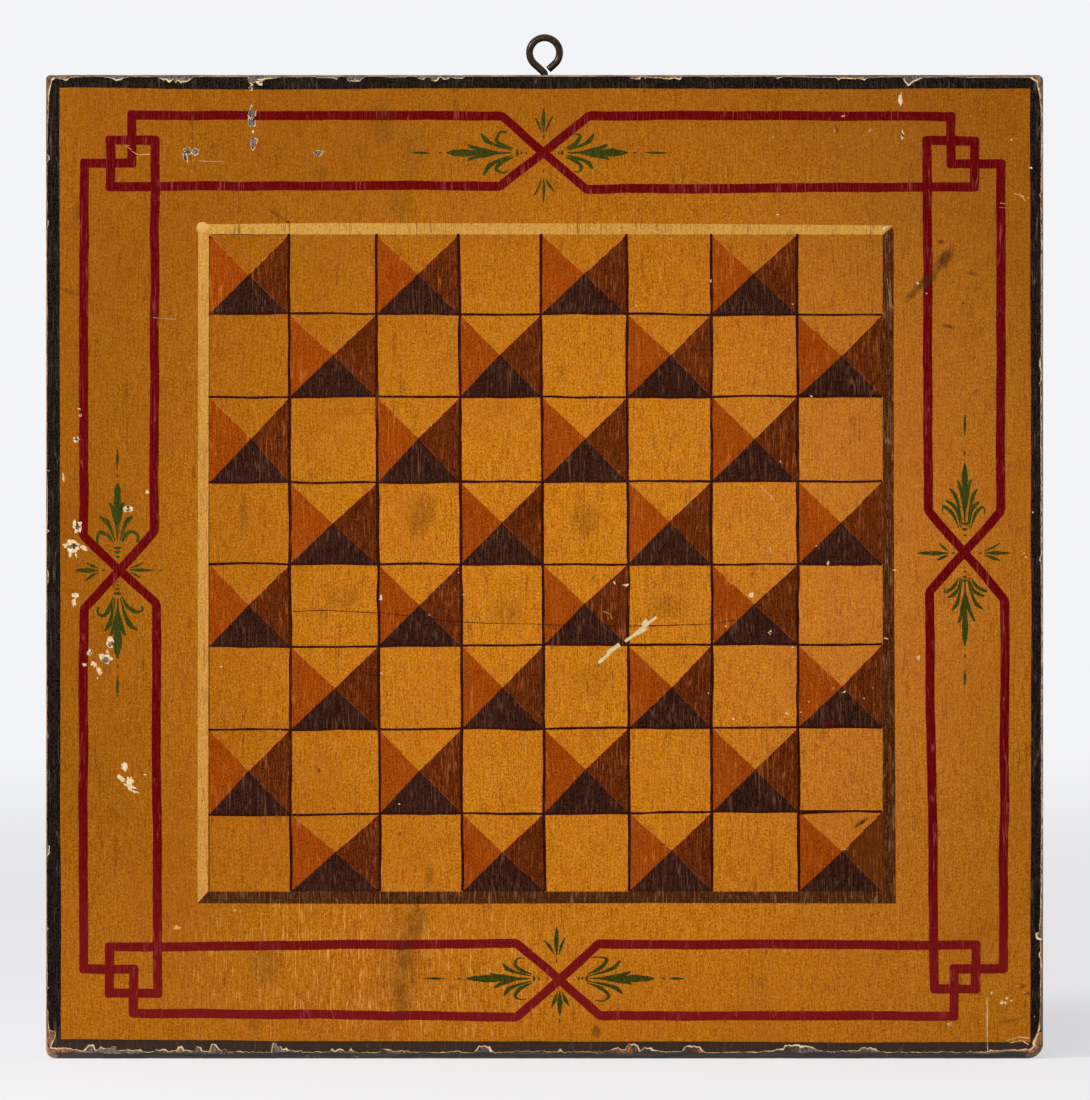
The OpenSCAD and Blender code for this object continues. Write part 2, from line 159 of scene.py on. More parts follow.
def thin_coat(name, shapes, cuts, back_y, front_y):
    """A coat of paint as a closed thin solid: the union of the shapes without the cuts."""
    points, faces = [], []
    for outline in shapes + cuts:
        faces.append(list(range(len(points), len(points) + len(outline))))
        points += anticlockwise(outline)
    corners, triangles, _, origins = filled(points, faces)
    kept = []
    for triangle, origin in zip(triangles, origins):
        inside = any(i < len(shapes) for i in origin)
        cut = any(i >= len(shapes) for i in origin)
        if inside and not cut:
            p, q, r = (corners[i] for i in triangle)
            turn = (q - p).cross(r - p)
            if abs(turn) > NO_AREA:
                kept.append(tuple(triangle) if turn > 0 else tuple(triangle[::-1]))
    used = sorted({i for triangle in kept for i in triangle})
    index = {old: new for new, old in enumerate(used)}
    count = len(used)
    verts = [(corners[i].x * MM, front_y * MM, corners[i].y * MM) for i in used]
    verts += [(corners[i].x * MM, back_y * MM, corners[i].y * MM) for i in used]
    edges = set()
    for triangle in kept:
        edges.update(zip(triangle, triangle[1:] + triangle[:1]))
    polygons = []
    for triangle in kept:
        polygons.append([index[i] for i in triangle])
        polygons.append([index[i] + count for i in triangle[::-1]])
    for i, j in edges:
        if (j, i) not in edges:
            polygons.append([index[j], index[i], index[i] + count, index[j] + count])
    return new_object(name, verts, polygons)


def ring_wall(low, count):
    """Quads between two rings of count points each, the first of which starts at low."""
    quads = []
    for i in range(count):
        j = (i + 1) % count
        quads.append([low + j, low + i, low + count + i, low + count + j])
    return quads


def new_object(name, verts, polygons, smooth=False):
    mesh = bpy.data.meshes.new(name)
    mesh.from_pydata(verts, [], polygons)
    mesh.validate()
    mesh.polygons.foreach_set("use_smooth", [smooth] * len(mesh.polygons))
    mesh.update()
    piece = bpy.data.objects.new(name, mesh)
    bpy.context.scene.collection.objects.link(piece)
    return piece


# Material building

def linear(colour):
    """The scene's colour for red, green and blue from 0 to 255, with alpha."""
    parts = [c / 255 for c in colour]
    return tuple(c / 12.92 if c <= 0.04045 else ((c + 0.055) / 1.055) ** 2.4 for c in parts) + (1.0,)


class Nodes:
    """Short ways to add and link nodes."""

    def __init__(self, tree, shader=None):
        self.tree = tree
        self.shader = shader

    def add(self, kind, **values):
        node = self.tree.nodes.new(kind)
        for key, value in values.items():
            setattr(node, key, value)
        return node

    def feed(self, socket, value):
        if isinstance(value, bpy.types.NodeSocket):
            self.tree.links.new(value, socket)
        else:
            socket.default_value = value

    def math(self, operation, *values, clamp=False):
        node = self.add("ShaderNodeMath", operation=operation, use_clamp=clamp)
        for socket, value in zip(node.inputs, values):
            self.feed(socket, value)
        return node.outputs[0]

    def times(self, a, b):
        return self.math("MULTIPLY", a, b)

    def plus(self, a, b):
        return self.math("ADD", a, b)

    def minus(self, a, b):
        return self.math("SUBTRACT", a, b)

    def mix(self, factor, a, b):
        node = self.add("ShaderNodeMix", data_type="RGBA")
        self.feed(node.inputs[0], factor)
        self.feed(node.inputs[6], a)
        self.feed(node.inputs[7], b)
        return node.outputs[2]

    def blend(self, factor, a, b):
        """The mix of two colours given from 0 to 255."""
        return self.mix(factor, linear(a), linear(b))

    def tint(self, colour, share, other):
        """The colour with a share of another one, given from 0 to 255."""
        return self.mix(share, colour, linear(other))

    def between(self, value, low, high, out_low=0.0, out_high=1.0):
        """value taken smoothly from low..high to out_low..out_high."""
        node = self.add("ShaderNodeMapRange", interpolation_type="SMOOTHSTEP")
        for socket, number in zip(node.inputs, (value, low, high, out_low, out_high)):
            self.feed(socket, number)
        return node.outputs[0]

    def place(self):
        return self.add("ShaderNodeTexCoord").outputs["Object"]

    def stretched(self, x, y, z, vector=None):
        """Object coordinates scaled so that 1 is x, y and z millimetres."""
        node = self.add("ShaderNodeMapping")
        self.feed(node.inputs["Vector"], vector or self.place())
        node.inputs["Scale"].default_value = (1 / (x * MM), 1 / (y * MM), 1 / (z * MM))
        return node.outputs[0]

    def noise(self, vector, detail=2.0, roughness=0.5):
        node = self.add("ShaderNodeTexNoise")
        node.inputs["Scale"].default_value = 1.0
        node.inputs["Detail"].default_value = detail
        node.inputs["Roughness"].default_value = roughness
        self.feed(node.inputs["Vector"], vector)
        return node.outputs[0]

    def texture(self, size, **settings):
        """A noise with grains of size millimetres along x, y and z."""
        return self.noise(self.stretched(*size), **settings)

    def hairlines(self, size, width, detail=1.0):
        """1 on the thin contour lines of a noise, 0 away from them."""
        field = self.texture(size, detail=detail, roughness=0.4)
        return self.between(self.math("ABSOLUTE", self.minus(field, 0.5)), 0.0, width, 1.0, 0.0)

    def base_colour(self, colour):
        self.feed(self.shader.inputs["Base Color"], colour)

    def bump(self, height, distance):
        """Relief in the shader, distance millimetres high where height is 1."""
        node = self.add("ShaderNodeBump")
        node.inputs["Strength"].default_value = 1.0
        node.inputs["Distance"].default_value = distance * MM
        self.feed(node.inputs["Height"], height)
        self.feed(self.shader.inputs["Normal"], node.outputs[0])


def ageing_group():
    """What shows through every coat: threads and cracks along the grain, pores, mottling."""
    tree = bpy.data.node_groups.new("old_paint", "ShaderNodeTree")
    for name in ("Threads", "Grain", "Lines", "Cracks", "Pores", "Mottle", "Cloud", "Height"):
        tree.interface.new_socket(name, in_out="OUTPUT", socket_type="NodeSocketFloat")
    n = Nodes(tree)
    threads = n.texture((0.8, 5, 9), detail=1.5, roughness=0.6)
    grain = n.texture((0.55, 5, 0.9), detail=0.3, roughness=0.65)
    lines = n.hairlines((0.62, 9, 26), 0.064, detail=0.5)
    thick = n.between(n.texture((1.0, 9, 4.5), detail=1), 0.4, 0.66, 0.0, 1.0)
    lines = n.times(lines, thick)
    broken = n.between(n.texture((7, 20, 11), detail=2), 0.44, 0.6)
    cracks = n.times(n.hairlines((2.0, 20, 36), 0.022), broken)
    pores = n.between(n.texture((0.7, 3, 1.7), detail=0.6), 0.68, 0.78)
    pores = n.times(pores, n.between(n.texture((16, 16, 16), detail=2), 0.4, 0.62))
    mottle = n.texture((11, 11, 17), detail=4, roughness=0.6)
    cloud = n.texture((60, 60, 95), detail=2, roughness=0.5)
    height = n.math("MULTIPLY_ADD", lines, 0.5, n.times(grain, 0.35))
    height = n.math("MULTIPLY_ADD", cracks, -0.6, height)
    out = n.add("NodeGroupOutput")
    for socket, value in zip(out.inputs, (threads, grain, lines, cracks, pores, mottle, cloud, height)):
        n.feed(socket, value)
    return tree


OLD_PAINT = ageing_group()


def new_material(name, roughness, specular):
    material = bpy.data.materials.new(name)
    material.use_nodes = True
    shader = material.node_tree.nodes["Principled BSDF"]
    shader.inputs["Roughness"].default_value = roughness
    shader.inputs["Specular IOR Level"].default_value = specular
    return material, Nodes(material.node_tree, shader)


def old_paint(n):
    node = n.add("ShaderNodeGroup")
    node.node_tree = OLD_PAINT
    return node.outputs


def swing(n, middle, *parts):
    """middle plus each texture's distance from 0.5 times its weight, for a mix factor."""
    total = middle
    for texture, weight in parts:
        total = n.math("MULTIPLY_ADD", n.minus(texture, 0.5), weight, total)
    return n.math("MINIMUM", n.math("MAXIMUM", total, 0.0), 1.0)


def paint(name, dark, light, line, line_share, crack=None, pore=(70, 26, 6), pore_share=0.5,
          threads=0.9, grain=1.2, roughness=0.52, relief=0.05):
    """A hand-brushed oil colour that has aged: dark and light are the ends of its range, line
    the colour of the fine threads that show in it, crack that of its long hairlines."""
    material, n = new_material(name, roughness, 0.025)
    old = old_paint(n)
    factor = swing(n, 0.5, (old["Threads"], threads), (old["Grain"], grain), (old["Mottle"], 0.4),
                   (old["Cloud"], 0.5))
    colour = n.blend(factor, dark, light)
    for mark, share, shade in (("Pores", pore_share, pore), ("Lines", line_share, line),
                               ("Cracks", 0.75, crack or line)):
        colour = n.tint(colour, n.times(old[mark], share), shade)
    n.base_colour(colour)
    n.bump(old["Height"], relief)
    return material, n, colour


def height_up(n):
    """Metres above the board's bottom edge."""
    split = n.add("ShaderNodeSeparateXYZ")
    n.feed(split.inputs[0], n.place())
    return split.outputs["Z"]


def near(n, x, z, w, h, soft=0.5, turn=0.0):
    """1 round a place on the face, fading to 0 at w by h millimetres from it."""
    node = n.add("ShaderNodeMapping", vector_type="TEXTURE")
    n.feed(node.inputs["Vector"], n.place())
    node.inputs["Location"].default_value = (x * MM, 0, z * MM)
    node.inputs["Rotation"].default_value = (0, -math.radians(turn), 0)
    node.inputs["Scale"].default_value = (w * MM, 1, h * MM)
    flat = n.add("ShaderNodeVectorMath", operation="MULTIPLY")
    n.feed(flat.inputs[0], node.outputs[0])
    flat.inputs[1].default_value = (1, 0, 1)
    length = n.add("ShaderNodeVectorMath", operation="LENGTH")
    n.feed(length.inputs[0], flat.outputs[0])
    return n.between(length.outputs["Value"], 1 - soft, 1.0, 1.0, 0.0)


# Places of the face's dark stains: x, z, half width, half height, turn, strength. The first
# ones run over the striping too.
STAINS_OVER = [
    (180.2, 360.6, 3.8, 8.5, -35, 1.0), (171.8, 350.6, 8.6, 3.2, 38, 1.0),
    (-57.8, 62.4, 6.5, 13, -8, 0.5), (-62.8, 47.0, 6.0, 12, 5, 0.5), (-64.9, 27.0, 5.0, 13, 0, 0.45),
    (-72.3, 422, 9, 14, 0, 0.3)]
STAINS = STAINS_OVER + [
    (165.6, 344.8, 4.4, 2.4, 48, 0.7), (178.9, 368.6, 2.0, 1.4, 0, 0.9),
    (192.9, 354.3, 3.4, 1.2, -15, 0.7), (182.4, 330.4, 4.0, 1.2, -10, 0.8),
    (188.8, 341.0, 1.0, 0.8, 0, 1.2), (-55.5, 245.2, 8.5, 14.5, -22, 0.42), (17.9, 243.2, 9, 11, 0, 0.36),
    (-135.4, 244.3, 2.8, 13, 0, 0.35), (-90.7, 208.2, 11, 7, 0, 0.28), (-16.6, 202.0, 11, 10, 0, 0.2),
    (55.4, 204.0, 12, 8, 0, 0.3), (20, 170, 14, 12, 20, 0.2), (-52.1, 82.3, 2.8, 8, -10, 0.45),
    (-101.9, 130.0, 1.5, 1.5, 0, 0.9), (-65.3, 101.6, 1.4, 1.4, 0, 0.8),
    (142.9, 106.6, 5.2, 1.2, 35, 1.3), (-64.9, 385.6, 9, 10, 0, 0.28), (-101.3, 398.8, 6, 5, 0, 0.3),
    (-59.5, 408, 9, 18, 0, 0.2), (-120.8, 380.9, 7.5, 1.1, -33, 0.6), (-126.2, 43.2, 12, 15, 0, 0.3),
    (-130.4, 17.3, 4.5, 8, 0, 0.35), (-65, 44, 14, 36, 0, 0.25), (131.8, 419.6, 0.8, 2.4, 15, 1.0),
    (23.4, 12.2, 2.8, 3.8, 0, 0.8), (210.4, 17.4, 8.0, 1.0, 10, 0.5), (216.0, 32.8, 2.0, 1.2, 30, 0.9),
    (217.4, 29.4, 2.4, 1.1, 10, 0.9), (-211, 382, 3, 5, 0, 0.4), (-214, 346, 6, 2, -20, 0.5),
    (134, 425, 4, 3, 0, 0.4), (-40, 438, 3, 2, 0, 0.5)]


def stained(n, colour, stains):
    """The colour with the stains on it, broken by its own texture."""
    blotch = n.between(n.texture((1.7, 9, 2.6), detail=4, roughness=0.72), 0.32, 0.66, 0.4, 1.0)
    for x, z, w, h, turn, strength in stains:
        mask = n.times(near(n, x, z, w, h, soft=0.7, turn=turn), blotch)
        colour = n.tint(colour, n.times(mask, strength), (66, 38, 18))
    return colour


def ochre_material():
    material, n, colour = paint(
        "ochre_paint", (163, 83, 0), (215, 132, 13), (230, 156, 70), 0.45, crack=(124, 62, 12),
        pore=(100, 44, 6), pore_share=0.7, threads=1.7, grain=2.3, relief=0.06)
    old = old_paint(n)
    specks = n.between(n.texture((0.5, 3, 1.1), detail=0.4), 0.57, 0.68)
    weft = n.between(n.texture((4, 9, 0.55), detail=1), 0.52, 0.66)
    specks = n.math("MAXIMUM", n.times(weft, 0.35), specks)
    colour = n.tint(colour, n.times(specks, 0.55), (230, 160, 52))
    flecks = n.between(n.texture((0.7, 5, 2.6), detail=1), 0.64, 0.72)
    flecks = n.times(flecks, n.between(old["Mottle"], 0.4, 0.65, 0.1, 0.65))
    colour = n.tint(colour, flecks, (238, 168, 84))
    ruddy = n.between(n.texture((30, 30, 50), detail=3, roughness=0.6), 0.45, 0.7)
    colour = n.tint(colour, n.times(ruddy, 0.2), (186, 92, 30))
    peach = n.times(near(n, 150, 240, 110, 300, soft=0.9), 0.15)
    colour = n.tint(colour, peach, (192, 110, 74))
    # Painted shade: the ochre darkens away from a point near the middle of the face, as the light falls
    # off, and less towards the bottom edge, a painted brightening there. shade adds the old paint's uneven
    # tone to it.
    away = n.minus(1.0, near(n, 34, 198, 274, 282, soft=0.75))
    away = n.times(away, n.between(height_up(n), 0.03, 0.13, 0.62, 1.0))
    uneven = swing(n, 0.0, (old["Cloud"], 0.9), (old["Mottle"], 0.5))
    shade = n.math("MULTIPLY_ADD", away, 0.55, n.times(uneven, 0.35))
    colour = n.tint(colour, shade, (108, 52, 2))
    soiled = n.between(n.texture((13, 9, 15), detail=5, roughness=0.72), 0.54, 0.74)
    soiled = n.times(soiled, near(n, 0, 225, 190, 190, soft=0.3))
    colour = n.tint(colour, n.times(soiled, 0.16), (116, 60, 14))
    ribs = n.times(old["Lines"], near(n, -80, 42, 120, 52, soft=0.7))
    colour = n.tint(colour, n.times(ribs, 0.8), (236, 170, 84))
    n.base_colour(stained(n, colour, STAINS))
    return material


def worn_wood(n, x, y, z):
    """Bare old wood, its fibres x, y and z millimetres long."""
    fibre = n.texture((x, y, z), detail=4, roughness=0.65)
    patch = n.texture((6 * x, 6 * y, 2 * z), detail=3, roughness=0.6)
    colour = n.blend(n.between(fibre, 0.32, 0.7), (96, 62, 44), (196, 156, 128))
    return n.tint(colour, n.between(patch, 0.42, 0.66), (70, 46, 32)), fibre


def edge_material():
    """The panel's painted edges: black-brown, rubbed through to the wood on the arrises."""
    material, n = new_material("worn_black_edge", 0.55, 0.5)
    bare = n.add("ShaderNodeAttribute", attribute_name="bare").outputs["Fac"]
    end = n.add("ShaderNodeAttribute", attribute_name="end").outputs["Fac"]
    across, _ = worn_wood(n, 14, 1.2, 1.2)
    upright, fibre = worn_wood(n, 1.0, 1.0, 16)
    wood = n.mix(end, upright, across)
    level = n.texture((26, 1.2, 0.8), detail=3, roughness=0.6)
    streaks = n.mix(end, n.texture((0.8, 1.2, 26), detail=3, roughness=0.6), level)
    black = n.blend(n.between(streaks, 0.42, 0.66), (10, 6, 6), (58, 48, 44))
    scuffs = n.texture((1.6, 1.6, 1.6), detail=5, roughness=0.7)
    patchy = n.texture((9, 4, 9), detail=3)
    rub = n.plus(bare, n.times(n.minus(scuffs, 0.5), 1.1))
    rub = n.plus(rub, n.times(n.minus(patchy, 0.5), 0.8))
    worn = n.between(rub, 0.42, 0.58)
    n.base_colour(n.mix(worn, black, wood))
    n.bump(n.minus(n.times(fibre, 0.4), n.times(worn, 0.5)), 0.12)
    return material


def old_wood(name, dark, middle, light, length, grime, along="z", seed=0.0):
    """Bare pine, oxidised with age, its grain along one axis."""
    material, n = new_material(name, 0.72, 0.3)
    base = n.add("ShaderNodeMapping")
    n.feed(base.inputs["Vector"], n.place())
    base.inputs["Location"].default_value = (seed, seed, seed)
    if along == "x":
        base.inputs["Rotation"].default_value = (0, math.radians(90), 0)
    sway = n.noise(n.stretched(45, 45, 170, base.outputs[0]), detail=2)
    moved = n.add("ShaderNodeVectorMath", operation="ADD")
    shift = n.add("ShaderNodeCombineXYZ")
    n.feed(shift.inputs[0], n.times(n.minus(sway, 0.5), 0.03))
    n.feed(moved.inputs[0], base.outputs[0])
    n.feed(moved.inputs[1], shift.outputs[0])
    rings = n.noise(n.stretched(3.4, 3.4, length, moved.outputs[0]), detail=3, roughness=0.6)
    fibre = n.noise(n.stretched(0.45, 0.45, 14, moved.outputs[0]), detail=3, roughness=0.6)
    colour = n.blend(n.between(rings, 0.36, 0.66), light, middle)
    colour = n.tint(colour, n.times(n.between(fibre, 0.44, 0.72), 0.6), dark)
    dirt = n.noise(n.stretched(28, 28, 46, base.outputs[0]), detail=4, roughness=0.65)
    colour = n.tint(colour, n.times(n.between(dirt, 0.42, 0.72), grime), dark)
    n.base_colour(colour)
    n.bump(n.plus(n.times(rings, 0.4), n.times(fibre, 0.5)), 0.14)
    return material, n, colour


def back_material(name, seed):
    """A board's bare back, with black paint run over its outer edges."""
    material, n, colour = old_wood(name, (70, 44, 24), (126, 86, 50), (160, 116, 72), 150, 0.5,
                                   seed=seed)
    parts = n.add("ShaderNodeSeparateXYZ")
    n.feed(parts.inputs[0], n.place())
    from_side = n.minus(HALF_W * MM, n.math("ABSOLUTE", parts.outputs[0]))
    from_top = n.minus(TOP * MM, parts.outputs[2])
    inside = n.math("MINIMUM", n.math("MINIMUM", from_side, from_top), parts.outputs[2])
    ragged = n.texture((9, 9, 9), detail=4, roughness=0.65)
    limit = n.times(n.minus(ragged, 0.38), 0.02)
    run = n.between(n.minus(limit, inside), -0.0004, 0.0004)
    n.base_colour(n.tint(colour, run, (34, 26, 22)))
    return material


def priming_material():
    """The pale priming that shows where the colours have chipped off."""
    material, n = new_material("pale_priming", 0.75, 0.3)
    mottle = n.texture((1.6, 1.6, 2.2), detail=4, roughness=0.7)
    colour = n.blend(n.between(mottle, 0.3, 0.7), (212, 176, 122), (250, 230, 190))
    soil = n.between(n.texture((4, 4, 5), detail=3, roughness=0.7), 0.5, 0.75)
    colour = n.tint(colour, n.times(soil, 0.45), (150, 108, 70))
    for x, z, w, h, share in ((216, 389, 14, 14, 0.8), (207, 17, 26, 30, 0.2), (-166, 59, 12, 10, 0.9),
                              (-148, 409, 8, 8, 0.6), (-184, 410, 10, 8, 0.6), (125, 410, 32, 34, 0.6)):
        colour = n.tint(colour, n.times(near(n, x, z, w, h), share), (228, 150, 84))
    olive = n.times(near(n, 37, 190, 24, 24, soft=0.3), 0.75)
    streaks = n.texture((0.7, 2, 1.2), detail=2)
    colour = n.mix(olive, colour, n.blend(streaks, (184, 158, 92), (238, 226, 180)))
    n.base_colour(colour)
    n.bump(mottle, 0.08)
    return material


def chip_wood_material():
    """The old wood at the bottom of the chips, on the boards' front."""
    material, n = new_material("weathered_wood", 0.8, 0.3)
    fibre = n.texture((0.8, 2, 7), detail=4, roughness=0.65)
    spots = n.texture((1.5, 2, 1.7), detail=3, roughness=0.7)
    warm = n.between(n.texture((24, 24, 24), detail=1), 0.56, 0.62)
    warm = n.times(warm, n.minus(1.0, near(n, -145, 415, 40, 26, soft=0.3)))
    warm = n.math("MAXIMUM", warm, near(n, 219, 5, 14, 12, soft=0.5))
    warm = n.math("MAXIMUM", warm, near(n, -222, 3, 9, 12, soft=0.5))
    warm = n.math("MAXIMUM", warm, n.times(near(n, -222, 441, 12, 14, soft=0.5), 0.5))
    light = n.blend(warm, (140, 126, 114), (196, 128, 76))
    colour = n.mix(n.between(fibre, 0.3, 0.7), linear((86, 68, 58)), light)
    colour = n.tint(colour, n.between(spots, 0.5, 0.62), (38, 29, 24))
    patchy = n.between(n.texture((14, 9, 30)), 0.45, 0.6, 1.0, 0.2)
    low = n.times(near(n, 0, -2, 216, 12, soft=0.3), patchy)
    colour = n.tint(colour, n.times(low, 0.85), (44, 32, 28))
    n.base_colour(colour)
    n.bump(fibre, 0.12)
    return material


def iron_material():
    material, n = new_material("dark_iron", 0.24, 0.3)
    n.shader.inputs["Specular Tint"].default_value = (1.0, 0.76, 0.6, 1.0)
    scale = n.texture((1.4, 1.4, 1.4), detail=4, roughness=0.65)
    rust = n.texture((3.6, 3.6, 3.6), detail=4, roughness=0.7)
    colour = n.blend(n.between(scale, 0.35, 0.7), (10, 6, 4), (50, 36, 28))
    colour = n.tint(colour, n.times(n.between(rust, 0.52, 0.72), 0.6), (78, 50, 34))
    n.base_colour(colour)
    n.feed(n.shader.inputs["Roughness"], n.between(rust, 0.3, 0.75, 0.1, 0.28))
    n.bump(scale, 0.12)
    return material


# The panel's worn edges

# How far the paint has worn back from each edge: place along the edge, and depth to the paint
TOP_WEAR = [
    (-226, 1.8), (-221, 1.5), (-217.5, 2.0), (-215.5, 2.9), (-214.5, 1.4), (-212, 1.0), (-201, 0.9),
    (-195.5, 1.4), (-193.5, 2.7), (-191, 2.4), (-190, 1.4), (-187, 0.9), (-174.5, 0.8), (-173, 2.0),
    (-172, 2.9), (-171, 2.2), (-169.5, 3.7), (-168.5, 3.1), (-167.5, 1.8), (-166.5, 3.8), (-165.5, 2.7),
    (-164, 3.8), (-162.5, 3.2), (-161, 3.0), (-159.5, 2.0), (-158.5, 0.9), (-134, 0.9), (-133, 3.6),
    (-131, 3.6), (-130, 1.4), (-129.8, 2.7), (-127.5, 2.7), (-126, 2.1), (-121.5, 1.6), (-118.5, 1.0),
    (-103.5, 1.0), (-102, 1.4), (-95, 1.5), (-93.8, 2.4), (-93, 0.9), (-89.5, 0.9), (-89, 2.3),
    (-88, 3.1), (-83.5, 3.1), (-82.5, 2.0), (-81, 0.9), (-72.5, 0.7), (-71, 1.1), (-63, 1.2),
    (-61.5, 0.7), (-57.5, 0.8), (-57, 1.8), (-54.5, 2.2), (-53.5, 1.1), (-51.7, 1.3), (-51, 2.8),
    (-48.5, 3.0), (-47.5, 1.4), (-46.3, 1.2), (-45.8, 2.2), (-43, 1.7), (-42.7, 0.9), (-41.3, 1.6),
    (-37, 1.9), (-36, 0.8), (-20, 0.7), (10, 0.8), (38, 0.7), (38.5, 1.6), (43, 2.2), (43.5, 0.8),
    (44.8, 0.8), (45.2, 2.1), (46, 0.9), (47, 1.4), (52.5, 1.4), (54, 2.0), (57, 1.9), (59, 1.6),
    (60.3, 2.3), (61.5, 2.2), (62, 0.8), (72, 0.8), (73, 1.1), (79, 0.8), (80, 1.1), (84, 0.8),
    (104, 0.8), (105, 1.9), (106, 1.4), (107.5, 0.8), (115, 1.0), (124, 1.2), (131.5, 1.3), (132.5, 2.5),
    (133.5, 1.7), (142, 1.9), (144.5, 2.6), (145.5, 1.5), (151, 1.1), (161.3, 1.1), (162.2, 3.2),
    (164, 5.3), (165.3, 4.3), (166.7, 3.4), (169, 2.2), (171, 1.2), (183, 1.0), (189, 1.2), (226, 1.3)]
BOTTOM_WEAR = [
    (-226, 5.4), (-215, 5.1), (-210.5, 4.2), (-208, 3.9), (-207, 5.4), (-205.8, 6.5), (-203.5, 6.5),
    (-203, 5.0), (-202.4, 4.0), (-201.5, 4.7), (-200.2, 5.6), (-199, 4.9), (-195.7, 5.0), (-195, 5.7),
    (-193.4, 5.6), (-192.7, 4.0), (-189, 3.9), (-188.4, 4.3), (-182, 4.2), (-181.6, 3.4), (-176, 3.4),
    (-175.3, 4.5), (-173.5, 4.0), (-172, 4.7), (-170.4, 4.3), (-170, 3.6), (-166.3, 3.8), (-165.4, 5.5),
    (-163.6, 5.8), (-162.5, 4.0), (-157.7, 3.6), (-157, 5.4), (-155, 5.4), (-154.6, 3.8), (-151.4, 3.6),
    (-150.5, 6.5), (-148.3, 6.8), (-147.6, 5.0), (-146.5, 4.0), (-144, 4.3), (-143, 3.2), (-137.5, 3.5),
    (-133, 3.2), (-123.3, 3.2), (-122.8, 7.2), (-121.2, 7.0), (-120.3, 5.0), (-119, 5.9), (-118, 4.5),
    (-116.7, 5.4), (-115.8, 4.3), (-114, 3.9), (-110, 3.7), (-109, 3.2), (-97.3, 3.2), (-96, 5.4),
    (-94.6, 3.8), (-93.2, 4.7), (-91, 4.5), (-90, 3.2), (-88.3, 3.6), (-87.4, 5.4), (-86.5, 3.6),
    (-85, 3.0), (-74, 3.0), (-73, 4.6), (-70.2, 4.4), (-67.5, 3.6), (-61.6, 3.8), (-60.7, 3.2),
    (-43.6, 3.1), (-41.8, 3.7), (-38.6, 3.6), (-37.7, 3.1), (-32, 3.1), (-30.5, 4.7), (-29.6, 5.9),
    (-24.6, 5.8), (-23.7, 3.8), (-22.8, 3.1), (-13.5, 3.2), (-12, 3.8), (-10.6, 3.3), (-7.5, 3.9),
    (-6, 3.3), (-2, 3.8), (1.5, 3.4), (5.6, 3.3), (7, 4.6), (8.3, 3.4), (27.3, 3.4), (30, 4.3),
    (31.8, 5.0), (33, 5.7), (34.5, 4.5), (36.3, 4.0), (37.2, 6.3), (39, 6.9), (42, 6.7), (43, 4.0),
    (44.2, 4.5), (45.3, 5.4), (48, 5.5), (49, 4.3), (50, 4.0), (51.2, 4.3), (52.5, 3.6), (54.3, 3.3),
    (62, 3.6), (63, 5.4), (64.3, 6.0), (69.7, 5.9), (71, 4.3), (72.8, 3.1), (79, 2.9), (88, 3.3),
    (97, 3.2), (100, 3.6), (105.3, 4.5), (107.6, 5.0), (108.5, 6.3), (113, 6.6), (118, 5.9), (122, 4.7),
    (123.8, 3.6), (131, 3.5), (136, 3.7), (141.4, 3.9), (142.8, 5.2), (149, 5.0), (150, 3.6), (156, 3.2),
    (174, 3.2), (185, 3.3), (191, 3.0), (192, 3.9), (193, 3.1), (198.7, 3.3), (201, 4.0), (206.4, 3.8),
    (210, 4.3), (214.5, 4.4), (226, 4.4)]
LEFT_WEAR = [
    (-1, 2.0), (5, 2.4), (9.9, 4.4), (12.6, 4.0), (13, 1.5), (17.6, 1.2), (21.6, 1.2), (22.5, 0.5),
    (31.5, 0.5), (32, 1.4), (33, 0.5), (38, 1.0), (40, 0.6), (58, 0.5), (58.8, 1.3), (59.5, 0.5),
    (91.5, 0.5), (92.5, 1.8), (96, 1.7), (96.7, 0.5), (144, 0.5), (145.7, 1.0), (148.4, 0.5),
    (165.5, 0.6), (167.4, 1.0), (168.7, 0.5), (214.3, 0.5), (215.2, 1.1), (220, 1.2), (221, 0.5),
    (237.3, 0.5), (238.2, 1.9), (239, 0.5), (243, 0.7), (259, 0.8), (264.8, 0.5), (265.4, 1.2),
    (266, 0.5), (330, 0.6), (375, 0.5), (375.8, 1.2), (378, 1.2), (379, 0.5), (385.7, 0.8), (387.5, 0.5),
    (404.7, 0.5), (405.6, 1.6), (407.4, 1.7), (408.3, 0.5), (421.4, 0.9), (435, 1.5), (440.3, 2.6),
    (445, 3.0)]
RIGHT_WEAR = [
    (-1, 5.0), (8, 4.6), (9.9, 3.6), (13, 2.4), (17.6, 1.7), (26.6, 1.4), (38, 1.4), (39.2, 2.0),
    (40, 1.4), (45, 1.4), (46, 2.1), (47.8, 2.1), (48.7, 1.4), (53.6, 1.5), (54.1, 3.4), (56.8, 3.4),
    (57.4, 1.6), (60.4, 1.8), (63.6, 1.4), (90, 1.1), (108, 1.0), (162, 1.1), (184.5, 0.9), (207, 1.0),
    (223.7, 1.2), (225, 1.9), (227, 1.2), (266, 1.2), (297, 1.3), (304, 1.4), (304.7, 2.0), (306, 1.3),
    (310.8, 1.3), (312.6, 1.9), (316.2, 1.8), (317, 1.1), (365, 1.1), (388.4, 1.2), (389.8, 1.9),
    (391, 1.2), (412, 1.0), (428, 1.1), (434, 1.7), (438.5, 2.7), (445, 3.4)]
EDGE_STEP = 0.4


def edge_wear(start, length, wear, seed):
    """Depths from a panel's edge to the paint, every EDGE_STEP along it from start."""
    depths, k = [], 0
    for i in range(round(length / EDGE_STEP) + 1):
        s = start + i * EDGE_STEP
        while wear[k + 1][0] < s:
            k += 1
        (s0, d0), (s1, d1) = wear[k], wear[k + 1]
        depth = lerp(d0, d1, (s - s0) / (s1 - s0))
        depths.append(depth * (1 + 0.12 * wobble(s, 1.1, seed)) + 0.16 * wobble(s, 5, seed + 1))
    return depths


